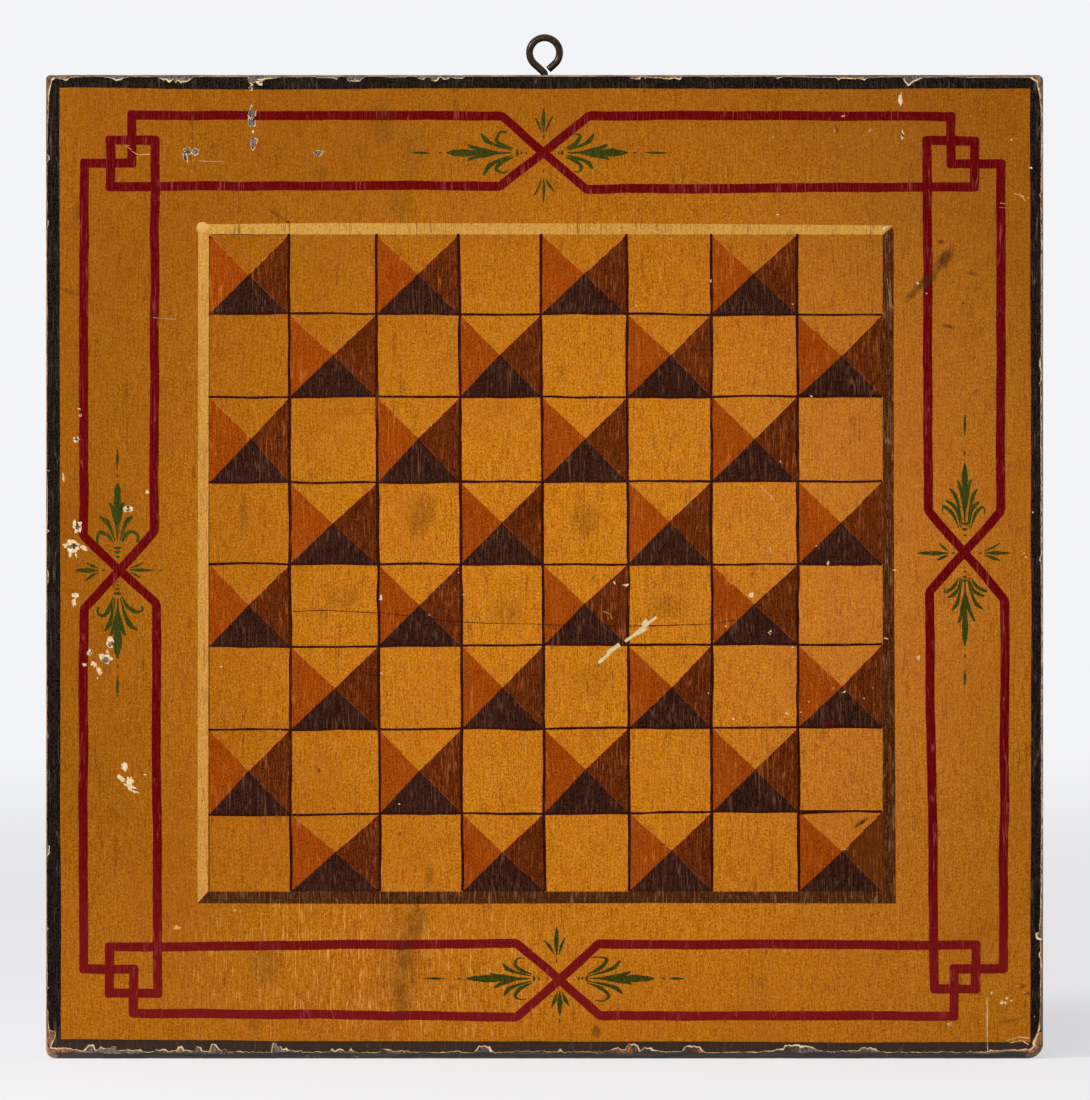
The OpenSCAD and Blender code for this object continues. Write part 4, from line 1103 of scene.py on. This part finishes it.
# Each sprig's place and turn, then its form
LARGE_SPRIGS = [
    (TOP_CROSS, 180, 0.95, (14.6, 44.0), ((34.4, 3.7), (34.4, 3.9)), (((27.2, 10.2),), ((28.3, 8.8),)),
     (((21.5, 7.2), (16.2, 8.6), 0.6), ((21.3, 5.7), (16.6, 9.2), 0.9)),
     ((8.0, 1.2), (10.2, 1.6), (12.0, 3.0)), 46.9, (51.1, 59.9)),
    (TOP_CROSS, 0, 0.95, (10.9, 38.1), ((29.0, 4.0), (29.6, 3.2)), (((22.7, 8.5),), ((22.3, 7.2),)),
     (((16.4, 6.9), (13.8, 8.3), 0.6), ((17.0, 6.4), (14.0, 8.4), 0.5)),
     ((7.0, 1.8), (8.6, 2.4)), 41.4, (46.0, 56.0)),
    (LEFT_CROSS, 90, 1.0, (13.6, 39.6), ((30.6, 3.8), (31.0, 3.4)), (((24.1, 8.0),), ((24.5, 6.9),)),
     (((17.2, 7.8), (11.6, 9.0), 1.1), ((17.6, 6.2), (12.7, 9.0), 1.2)),
     ((6.2, 2.0), (8.4, 3.2), (10.2, 4.4)), 42.8, (45.6, 55.0)),
    (LEFT_CROSS, -90, 1.0, (12.9, 40.0), ((29.6, 3.8), (30.0, 3.6)), (((27.1, 9.0),), ((27.4, 5.8),)),
     (((18.8, 8.4), (16.0, 11.0), 0.6), ((20.6, 6.4), (16.6, 8.7), 0.9)),
     ((5.2, 0.9), (6.7, 1.5), (8.6, 2.2), (10.6, 3.8)), 43.6, (47.4, 57.4)),
    (RIGHT_CROSS, 90, 0.8, (12.4, 40.8), ((33.0, 3.7), (33.3, 3.2)),
     (((29.2, 6.8), (23.8, 8.6)), ((28.9, 5.7), (23.2, 6.6))),
     (((21.0, 9.2), (17.6, 9.9), 0.35), ((20.6, 7.4), (17.8, 8.8), 0.35)),
     ((8.2, 1.6), (10.9, 2.4), (13.4, 2.6)), 45.4, (53.0, 63.2)),
    (RIGHT_CROSS, -90, 0.8, (12.0, 42.1), ((31.0, 4.8), (31.6, 3.3)),
     (((25.4, 8.3), (19.6, 9.0)), ((25.9, 5.9), (20.2, 8.0))),
     (((17.2, 9.2), (15.6, 9.5), 0.3), ((17.6, 8.6), (15.4, 9.0), 0.3)),
     ((8.6, 1.4), (11.0, 2.2), (12.6, 2.6)), 46.6, (52.8, 60.0)),
    (LOW_CROSS, 180, 0.9, (13.4, 42.3), ((29.8, 4.3), (31.6, 2.6)), (((25.3, 7.7),), ((25.7, 6.6),)),
     (((20.2, 7.6), (14.8, 9.2), 0.35), ((20.2, 6.4), (16.1, 9.0), 0.35)),
     ((5.8, 0.8), (9.6, 1.6), (11.8, 2.8)), 45.4, (52.0, 61.0)),
    (LOW_CROSS, 0, 0.9, (13.4, 43.0), ((32.2, 3.4), (32.6, 2.9)), (((27.4, 8.3),), ((28.2, 6.8),)),
     (((21.3, 8.4), (14.0, 9.5), 0.35), ((22.2, 7.8), (15.7, 9.9), 0.35)),
     ((8.6, 1.4), (10.4, 1.6), (12.4, 3.2)), 47.0, (49.4, 56.4))]
SMALL_SPRIGS = [
    (TOP_CROSS, 90, (9.2, 20.4), 1.9, ((15.9, 3.8, 1.2), (16.8, 4.2, 1.1)), 7.4),
    (TOP_CROSS, -90, (11.6, 22.7), 1.4, ((17.4, 4.8, 1.2), (19.4, 4.3, 0.8)), 8.2),
    (LEFT_CROSS, 180, (8.7, 19.6), 2.3, ((14.6, 4.8, 1.4), (14.0, 3.4, 1.3)), 6.4),
    (LEFT_CROSS, 0, (5.6, 16.4), 1.5, ((11.6, 3.4, 0.8), (10.6, 3.5, 0.9)), 19.6),
    (RIGHT_CROSS, 180, (7.3, 21.8), 2.1, ((12.5, 3.3, 1.4), (11.4, 4.4, 1.2)), 5.2),
    (RIGHT_CROSS, 0, (8.6, 20.8), 1.8, ((16.0, 4.6, 0.9), (16.0, 3.5, 1.5)), 7.0),
    ((5.9, 34.8), 90, (10.6, 23.6), 2.3, ((17.4, 5.8, 1.3), (18.6, 3.8, 1.4)), 8.2),
    (LOW_CROSS, -90, (5.7, 16.9), 2.3, ((12.5, 4.4, 1.6), (13.0, 3.7, 1.6)), 19.2)]


def sprig_shapes():
    shapes = []
    for k, (at, turn, *form) in enumerate(LARGE_SPRIGS):
        shapes += [turned(s, at, turn) for s in large_sprig(*form, 700 + 30 * k)]
    for k, (at, turn, *form) in enumerate(SMALL_SPRIGS):
        shapes += [turned(s, at, turn) for s in small_sprig(*form, 960 + 8 * k)]
    return shapes


def border_inside():
    """The wavering inner edge of the black border."""
    places = [(-218.2, 8.9), (-140, 8.4), (-40, 8.0), (120, 7.6), (219.2, 7.5), (219.5, 150), (219.4, 300),
              (219.0, 437.8), (120, 437.6), (-20, 437.9), (-130, 437.4), (-218.9, 438.2), (-218.7, 300),
              (-218.5, 150)]
    outline = []
    for k, place in enumerate(places):
        a, b = Vector(place), Vector(places[(k + 1) % len(places)])
        across = Vector((a.y - b.y, b.x - a.x)).normalized()
        steps = 36
        for i in range(steps):
            s = (b - a).length * i / steps
            sway = 0.3 * wobble(s, 40, 30 + k) + 0.14 * wobble(s, 6, 54 + k)
            sway *= min(i / 3, 1) * min((steps - i) / 3, 1)
            outline.append(a.lerp(b, i / steps) + across * sway)
    return outline


def umber_material():
    """The shaded facets' colour, browner towards the lower right."""
    material, n, colour = paint(
        "umber_paint", (56, 14, 0), (108, 46, 6), (162, 86, 40), 0.78, threads=1.5, grain=2.4)
    browner = n.times(near(n, 158, 84, 40, 60, soft=0.9), 0.4)
    n.base_colour(n.tint(colour, browner, (102, 56, 14)))
    return material


def straw_material():
    """The light band's colour, paler in its top left corner where a blob of paint lies: partly the blob's
    own colour, partly a painted highlight on it.
    """
    material, n, colour = paint(
        "straw_paint", (184, 128, 42), (222, 168, 84), (140, 94, 36), 0.65, crack=(100, 60, 20),
        pore=(100, 54, 14), grain=2.0)
    # Painted highlight on the round blob of paint in the band's top left corner, over the blob's own paler
    # colour
    pale_blob_and_highlight = n.times(near(n, -154.2, 376.0, 3.6, 3.4, soft=0.45), 0.4)
    n.base_colour(n.tint(colour, pale_blob_and_highlight, (238, 204, 126)))
    return material


def red_material():
    """The striping's colour, paler towards the bottom edge."""
    material, n, colour = paint(
        "red_paint", (80, 0, 2), (112, 5, 6), (144, 48, 48), 0.5, crack=(160, 70, 62), pore=(44, 2, 4),
        threads=1.3, grain=3.4)
    paler_low = n.between(height_up(n), 0.0, 0.12, 0.4, 0.0)
    n.base_colour(stained(n, n.tint(colour, paler_low, (140, 36, 34)), STAINS_OVER))
    return material


def black_material():
    """The border's colour, paler and browner towards the bottom edge."""
    material, n, colour = paint(
        "black_paint", (2, 1, 0), (39, 29, 23), (96, 80, 68), 0.4, pore=(4, 3, 2), threads=0.6, grain=5.0)
    paler_low = n.between(height_up(n), 0.006, 0.014, 0.5, 0.0)
    n.base_colour(n.tint(colour, paler_low, (76, 58, 47)))
    return material


def paint_the_face():
    tawny = paint("tawny_paint", (124, 42, 0), (170, 78, 5), (196, 108, 40), 0.5, threads=1.2, grain=2.2)[0]
    upper_pale_line = paint("paler_tawny_line", (164, 78, 18), (214, 128, 48), (226, 150, 70), 0.5)[0]
    lower_pale_line = paint("paler_umber_line", (96, 34, 10), (142, 64, 28), (170, 92, 50), 0.5)[0]
    umber = umber_material()
    dark_umber = paint("dark_umber_paint", (24, 5, 1), (62, 31, 22), (114, 74, 50), 0.7, pore=(14, 6, 4),
                       threads=1.5, grain=2.8)[0]
    line = paint("line_paint", (30, 4, 4), (58, 18, 12), (120, 60, 30), 0.3)[0]
    straw = straw_material()
    brown = paint("brown_paint", (44, 15, 0), (92, 47, 16), (152, 104, 62), 0.7, threads=1.4, grain=2.6)[0]
    red = red_material()
    green = paint("green_paint", (34, 38, 6), (66, 76, 20), (110, 84, 30), 0.5, pore=(24, 20, 6),
                  grain=2.0)[0]
    black = black_material()

    coat("pale_priming", [PANEL_OUTLINE], edge_cuts(True) + chip_cuts(True), WOOD_Y, PRIMING_Y,
         priming_material(), "ground_coat", "straw_paint")
    coat("ochre_coat", [PANEL_OUTLINE], PAINT_CUTS, PRIMING_Y, PAINT_Y, ochre_material(), "ground_coat",
         "ochre_paint")
    left, right, lower = facet_shapes()
    for name, shapes, front_y, material, node, slot in (
            ("left_facet_paint", left, COLOUR_Y, tawny, "left_facets", "tawny_paint"),
            ("right_facet_paint", right, COLOUR_Y, umber, "right_facets", "umber_paint"),
            ("lower_facet_paint", lower, COLOUR_Y - 0.01, dark_umber, "lower_facets", "dark_umber_paint"),
            ("upper_facet_pale_lines", facet_edges(True), COLOUR_Y - 0.02, upper_pale_line, "left_facets",
             "tawny_paint"),
            ("lower_facet_pale_lines", facet_edges(False), COLOUR_Y - 0.02, lower_pale_line, "right_facets",
             "umber_paint"),
            ("light_band_paint", light_band_shapes(), COLOUR_Y, straw, "light_band", "straw_paint"),
            ("dark_band_paint", dark_band_shapes(), COLOUR_Y - 0.01, brown, "dark_band", "brown_paint"),
            ("field_line_paint", field_lines(), LINE_Y, line, "square_lines", "dark_umber_paint"),
            ("stripe_paint", striping_shapes(), STRIPE_Y, red, "red_striping", "red_paint"),
            ("sprig_paint", sprig_shapes(), COLOUR_Y, green, "green_sprigs", "green_paint")):
        coat(name, [on_board(s) for s in shapes], CHIP_CUTS, PAINT_Y, front_y, material, node, slot)
    coat("border_paint", [PANEL_OUTLINE], PAINT_CUTS + [border_inside()], PAINT_Y, LINE_Y, black,
         "black_border", "black_paint")


# The boards

CORNER_R = {("left", "top"): 2.0, ("right", "top"): 2.6, ("left", "bottom"): 4.4, ("right", "bottom"): 7.0}
BACK_ARRIS = 1.5
PROFILE_STEPS = 5
# The distance between points along the outline, and what each board stops short at a glue joint
POINT_GAP = 1.6
GLUE_GAP = 0.07
# Radii of a batten's screw holes and of their countersinks, and how far below its back the
# countersinks' slopes end and start
HOLE_R, SINK_R = 2.05, 4.05
SLOPE_END, SLOPE_START = 2.7, 0.7
HOLE_SIDES = 32
# The radius of a batten's corners as seen from behind, and the distance between its points
BATTEN_R, BATTEN_GAP = 1.0, 4


def corner_centre(side_x, side_z):
    """The middle of the circle that rounds a corner, and its radius."""
    r = CORNER_R[side_x, side_z]
    x = (HALF_W - r) * (-1 if side_x == "left" else 1)
    return Vector((x, TOP - r if side_z == "top" else r)), r


def outline_points():
    """Points round the panel, anticlockwise from the front: place, outward normal, front
    arris, how worn it is, and whether it is end grain."""
    points = []
    corners = [("right", "bottom", -90), ("right", "top", 0), ("left", "top", 90), ("left", "bottom", 180)]
    wear = {"top": 0.9, "right": 0.45, "bottom": 0.3, "left": 0.3}
    for k, (side, (side_x, side_z, from_a)) in enumerate(zip(("right", "top", "left", "bottom"), corners)):
        centre, r = corner_centre(side_x, side_z)
        before, after = (side_z, side_x) if k % 2 == 0 else (side_x, side_z)
        steps = 8
        for i in range(steps + 1):
            t = i / steps
            normal = direction(math.radians(from_a + 90 * t))
            arris = lerp(ARRIS[before], ARRIS[after], t)
            points.append((centre + normal * r, normal, arris, 1.0, abs(normal.y)))
        start, normal = points[-1][:2]
        next_centre, next_r = corner_centre(*corners[(k + 1) % 4][:2])
        end = next_centre + normal * next_r
        flat = side in ("top", "bottom")
        count = round((end - start).length / POINT_GAP)
        for i in range(1, count):
            p = start.lerp(end, i / count)
            s = p.x if flat else p.y
            arris = ARRIS[side] * (1 + 0.28 * wobble(s, 9, 80 + k) + 0.2 * wobble(s, 3, 84 + k))
            points.append((p, normal, arris, wear[side], 1.0 if flat else 0.0))
    return points


def profile():
    """The rings of a board's edge, from front to back: face, and how far in and deep, 0 to 1."""
    rings = []
    for face in ("front", "back"):
        for i in range(PROFILE_STEPS + 1):
            a = math.radians(90 * i / PROFILE_STEPS)
            inset, depth = 1 - math.sin(a), 1 - math.cos(a)
            rings.append((face, inset, depth, i) if face == "front" else (face, depth, inset, i))
    return rings


def board(name, x0, x1, node, back, edge, front):
    """One board of the panel, from x0 to x1, with its share of the panel's worn outline."""
    low = x0 + GLUE_GAP if x0 > -HALF_W else x0
    high = x1 - GLUE_GAP if x1 < HALF_W else x1
    ring = [p for p in outline_points() if low + 0.01 < p[0].x < high - 0.01]
    ring = close_ring(ring, low, high)
    rings = profile()
    verts, bare, end = [], [], []
    for face, inset, depth, i in rings:
        worn = math.sin(math.pi * inset ** 0.6)
        for p, normal, arris, wear, end_grain in ring:
            rough = abs(0.12 * wobble(p.x + 2.1 * p.y + 13 * i, 2.5, 90))
            if face == "front":
                r, y = arris, WOOD_Y + arris * depth
                bare.append(wear * (0.35 + 0.65 * worn))
            else:
                r, y = BACK_ARRIS, BACK_Y - BACK_ARRIS * depth
                bare.append(0.55 * worn)
            q = p - normal * (r * inset + rough)
            verts.append((q.x * MM, y * MM, q.y * MM))
            end.append(end_grain)
    count, last = len(ring), len(rings) - 1
    polygons = [list(range(count)), list(range(last * count, (last + 1) * count))[::-1]]
    for k in range(last):
        polygons += ring_wall(k * count, count)
    piece = new_object(name, verts, polygons)
    for material in (edge, back, front):
        piece.data.materials.append(material)
    piece.data.polygons[0].material_index = 2
    piece.data.polygons[1].material_index = 1
    for attribute, values in (("bare", bare), ("end", end)):
        layer = piece.data.attributes.new(attribute, "FLOAT", "POINT")
        layer.data.foreach_set("value", values)
    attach(piece, "panel")
    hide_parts(node)


def close_ring(ring, low, high):
    """The board's points with its corners at the glue joints added, where its edge is sharp."""
    closed = []
    for i, point in enumerate(ring):
        closed.append(point)
        after = ring[(i + 1) % len(ring)]
        if (after[0] - point[0]).length > 5 * POINT_GAP:
            x = high if point[0].x > (low + high) / 2 else low
            for p in (point, after):
                closed.append((Vector((x, p[0].y)), *p[1:]))
    return closed


def batten_ring(low, high, inset):
    """Points round a batten, anticlockwise from the front, drawn in by inset."""
    half_w, half_h = (high.x - low.x) / 2 - inset, (high.z - low.z) / 2 - inset
    middle = Vector(((low.x + high.x) / 2, (low.z + high.z) / 2))
    r = BATTEN_R
    corners = [(half_w - r, r - half_h, -90), (half_w - r, half_h - r, 0),
               (r - half_w, half_h - r, 90), (r - half_w, r - half_h, 180)]
    ring = []
    for k, (x, z, from_a) in enumerate(corners):
        for i in range(4):
            a = math.radians(from_a + 30 * i)
            ring.append(middle + Vector((x + r * math.cos(a), z + r * math.sin(a))))
        outward = direction(math.radians(from_a + 90))
        start, end = ring[-1], middle + Vector(corners[(k + 1) % 4][:2]) + r * outward
        count = round((end - start).length / BATTEN_GAP)
        for i in range(1, count):
            p = start.lerp(end, i / count)
            ring.append(p - outward * abs(0.22 * wobble(p.x + p.y, 12, 21 + k)))
    return ring


def screw_hole(node, low_y, high_y):
    """Rings down a countersunk hole for a screw, each with its y."""
    low, high = node_box(node)
    middle = Vector(((low.x + high.x) / 2, (low.z + high.z) / 2))
    turns = [2 * math.pi * k / HOLE_SIDES for k in range(HOLE_SIDES)]
    return [([middle + r * direction(a) for a in turns], y) for r, y in (
        (HOLE_R, low_y), (HOLE_R, high_y - SLOPE_END), (SINK_R, high_y - SLOPE_START), (SINK_R, high_y))]


def end_faces(rings, verts, turn):
    """Faces that fill the first ring of vertices but not the others, which are holes in it."""
    order = [i for ring in rings for i in ring]
    points = [Vector((verts[i][0], verts[i][2])) / MM for i in order]
    faces, start = [], 0
    for ring in rings:
        faces.append(list(range(start, start + len(ring))))
        start += len(ring)
    _, triangles, sources, origins = filled(points, faces)
    return [[order[sources[i][0]] for i in triangle][::turn]
            for triangle, origin in zip(triangles, origins) if list(origin) == [0]]


def make_batten(name, node, material):
    """A batten with eased edges, bored and countersunk for its screws."""
    low, high = node_box(node)
    columns = [[(batten_ring(low, high, inset), high.y - depth) for inset, depth in (
        (0, high.y - low.y), (0, 3.8), (0.15, 3.1), (0.55, 2.6), (2.6, 0.55), (3.1, 0.2), (3.8, 0))]]
    columns += [screw_hole(f"{node}_screw_{i}", low.y, high.y) for i in range(1, 5)]
    verts, polygons, first, last = [], [], [], []
    for is_hole, column in enumerate(columns):
        count = len(column[0][0])
        first.append(range(len(verts), len(verts) + count))
        for k, (ring, y) in enumerate(column):
            if k:
                quads = ring_wall(len(verts) - count, count)
                polygons += [quad[::-1] for quad in quads] if is_hole else quads
            verts += [(p.x * MM, y * MM, p.y * MM) for p in ring]
        last.append(range(len(verts) - count, len(verts)))
    polygons += end_faces(first, verts, 1) + end_faces(last, verts, -1)
    piece = new_object(name, verts, polygons)
    piece.data.materials.append(material)
    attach(piece, "panel")
    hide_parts(node)


def make_boards():
    edge, front = edge_material(), chip_wood_material()
    for k, (name, x0, x1, node) in enumerate((
            ("left_pine_board", -HALF_W, LEFT_JOINT, "left_board"),
            ("centre_pine_board", LEFT_JOINT, RIGHT_JOINT, "centre_board"),
            ("right_pine_board", RIGHT_JOINT, HALF_W, "right_board"))):
        board(name, x0, x1, node, back_material(name, 3.7 * k), edge, front)


def make_battens():
    material = old_wood("batten_wood", (48, 30, 18), (96, 62, 36), (128, 88, 54), 120, 0.6, along="x",
                        seed=1.3)[0]
    for place in ("upper", "lower"):
        make_batten(f"{place}_pine_batten", f"{place}_batten", material)


# The screw eye

# Radii of its wire, its loop and the bend of its neck, and the slope of the wire between them
WIRE_R, LOOP_R, BEND_R = 1.65, 6.8, 2.3
ARM_A = math.radians(42)
THREAD_PITCH, THREAD_DEPTH, THREAD_LENGTH, POINT_LENGTH = 2.0, 0.5, 16.0, 4.0
# Steps along the wire's parts, and the wire's sides
TAIL_STEPS, LOOP_STEPS, ARM_STEPS, BEND_STEPS, SHANK_STEPS = 6, 48, 5, 8, 130
WIRE_SIDES = 24
# What is left of the wire's radius at its filed end
FILED_END = 0.86


def eye_path(low_z, high_z):
    """The middle of the wire, from its cut end round the loop and down the shank."""
    centre_z = high_z - LOOP_R - WIRE_R - 0.04
    turn = math.pi / 2 - ARM_A
    arm = LOOP_R * math.tan(ARM_A)
    tangent = BEND_R * math.tan(turn / 2)
    neck_z = centre_z - LOOP_R / math.cos(ARM_A) - tangent
    cut_arm = arm - (WIRE_R * (1 + abs(math.cos(2 * ARM_A))) + 0.4) / math.sin(2 * ARM_A)
    right_foot = Vector((LOOP_R * math.sin(ARM_A), -LOOP_R * math.cos(ARM_A)))
    toward = Vector((-math.cos(ARM_A), -math.sin(ARM_A)))
    path = [Vector((0, centre_z)) + right_foot + toward * cut_arm * (1 - i / TAIL_STEPS)
            for i in range(TAIL_STEPS)]
    start = ARM_A - math.pi / 2
    sweep = math.radians(270) - ARM_A - start
    for i in range(LOOP_STEPS + 1):
        a = start + sweep * i / LOOP_STEPS
        path.append(Vector((LOOP_R * math.cos(a), centre_z + LOOP_R * math.sin(a))))
    foot = path[-1]
    down = Vector((math.cos(ARM_A), -math.sin(ARM_A)))
    path += [foot + down * (arm - tangent) * i / ARM_STEPS for i in range(1, ARM_STEPS)]
    for i in range(BEND_STEPS + 1):
        a = turn * (1 - i / BEND_STEPS)
        path.append(Vector((-BEND_R + BEND_R * math.cos(a), neck_z + BEND_R * math.sin(a))))
    for i in range(1, SHANK_STEPS + 1):
        path.append(Vector((0, lerp(neck_z, low_z + 0.02, i / SHANK_STEPS))))
    return path


def thread_radius(z, above, round_share):
    """The thread's radius at height z and a share of a turn. above is the height over its tip."""
    phase = (z / THREAD_PITCH + round_share) % 1
    r = WIRE_R - THREAD_DEPTH * min(1, 2 * abs(phase - 0.5) * 1.3)
    return r * min(1, 0.1 + above / POINT_LENGTH)


def make_eye(material):
    """The wire bent to a loop, its neck and its threaded shank, as one tube."""
    low, high = node_box("screw_eye")
    path = eye_path(low.z, high.z)
    verts, length = [], 0.0
    for k, p in enumerate(path):
        before, after = path[max(k - 1, 0)], path[min(k + 1, len(path) - 1)]
        along = (after - before).normalized()
        across = Vector((-along.y, along.x))
        length += (p - before).length
        above = p.y - low.z
        threaded = k > len(path) - SHANK_STEPS and above < POINT_LENGTH + THREAD_LENGTH
        for j in range(WIRE_SIDES):
            a = 2 * math.pi * j / WIRE_SIDES
            r = WIRE_R * (1 + 0.02 * wobble(length, 4, 95) + 0.015 * wobble(length + 3 * j, 3, 96))
            if threaded:
                r = thread_radius(p.y, above, j / WIRE_SIDES)
            if k == 0:
                r *= FILED_END
            q = p + across * r * math.cos(a)
            verts.append((q.x * MM, r * math.sin(a) * MM, q.y * MM))
    polygons = [list(range(WIRE_SIDES))[::-1], list(range(len(verts) - WIRE_SIDES, len(verts)))]
    for k in range(len(path) - 1):
        polygons += [[b, a, d, c] for a, b, c, d in ring_wall(k * WIRE_SIDES, WIRE_SIDES)]
    piece = new_object("wire_eye", verts, polygons, smooth=True)
    piece.data.materials.append(material)
    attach(piece, "eye")
    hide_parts("screw_eye")


def dress_cad_parts(iron):
    """New materials for the pieces whose shape stays."""
    dowel = old_wood("dowel_wood", (110, 78, 44), (166, 128, 82), (190, 152, 104), 60, 0.2, along="x",
                     seed=2.1)[0]
    for name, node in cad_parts.items():
        if "screw_" in name and name != "screw_eye":
            node.data.materials[0] = iron
        elif "dowel" in name:
            node.data.materials[0] = dowel


# Camera, light and ground

def make_camera():
    data = bpy.data.cameras.new("camera")
    data.lens = 253.2
    data.sensor_width = 36
    data.sensor_fit = "AUTO"
    camera = bpy.data.objects.new("camera", data)
    camera.location = (0.0002, -3.5, 0.2296)
    camera.rotation_euler = (math.radians(90), 0, 0)
    bpy.context.scene.collection.objects.link(camera)
    bpy.context.scene.camera = camera


def area_light(name, place, target, size, power):
    data = bpy.data.lights.new(name, "AREA")
    data.shape = "DISK"
    data.size = size
    data.energy = power
    light = bpy.data.objects.new(name, data)
    light.location = place
    light.rotation_euler = (Vector(target) - Vector(place)).to_track_quat("-Z", "Y").to_euler()
    bpy.context.scene.collection.objects.link(light)


def seen_directly(n):
    """1 for camera, glossy and transmission rays, 0 for those that carry light."""
    ray = n.add("ShaderNodeLightPath")
    seen = n.plus(ray.outputs["Is Camera Ray"], ray.outputs["Is Glossy Ray"])
    return n.math("ADD", seen, ray.outputs["Is Transmission Ray"], clamp=True)


WHITE = (0.9, 0.905, 0.93, 1)


def make_floor():
    """A wide pale floor that keeps the object's shadow and fades into the background."""
    reach = 20.0
    corners = [(-reach, -reach, 0), (reach, -reach, 0), (reach, reach, 0), (-reach, reach, 0)]
    floor = new_object("floor", corners, [(0, 1, 2, 3)])
    material, n = new_material("pale_floor", 0.9, 0.1)
    n.shader.inputs["Base Color"].default_value = (0.9, 0.9, 0.91, 1)
    glow = n.add("ShaderNodeEmission")
    glow.inputs["Color"].default_value = WHITE
    distance = n.add("ShaderNodeVectorMath", operation="LENGTH")
    n.feed(distance.inputs[0], n.place())
    fade = (distance.outputs["Value"], 0.5, 6.0)
    share = n.between(*fade, 0.5, 1.0)
    n.feed(glow.inputs["Strength"], n.between(*fade, 1.22, 1.0))
    mix = n.add("ShaderNodeMixShader")
    n.feed(mix.inputs[0], n.times(seen_directly(n), share))
    n.feed(mix.inputs[1], n.shader.outputs[0])
    n.feed(mix.inputs[2], glow.outputs[0])
    n.feed(material.node_tree.nodes["Material Output"].inputs["Surface"], mix.outputs[0])
    floor.data.materials.append(material)


def make_light():
    world = bpy.data.worlds.new("studio")
    bpy.context.scene.world = world
    world.use_nodes = True
    n = Nodes(world.node_tree)
    background = world.node_tree.nodes["Background"]
    n.feed(background.inputs["Color"], n.mix(seen_directly(n), (0.26, 0.26, 0.26, 1), WHITE))
    background.inputs["Strength"].default_value = 1.0
    area_light("key", (-2.5, -2.0, 2.0), (0, 0, 0.2), 0.9, 88)
    area_light("fill", (-0.6, -3.3, 1.8), (0, 0, 0.2), 1.4, 26)


bpy.context.scene.view_settings.view_transform = "Standard"
make_camera()
make_light()
make_floor()
iron = iron_material()
make_boards()
make_battens()
paint_the_face()
make_eye(iron)
dress_cad_parts(iron)
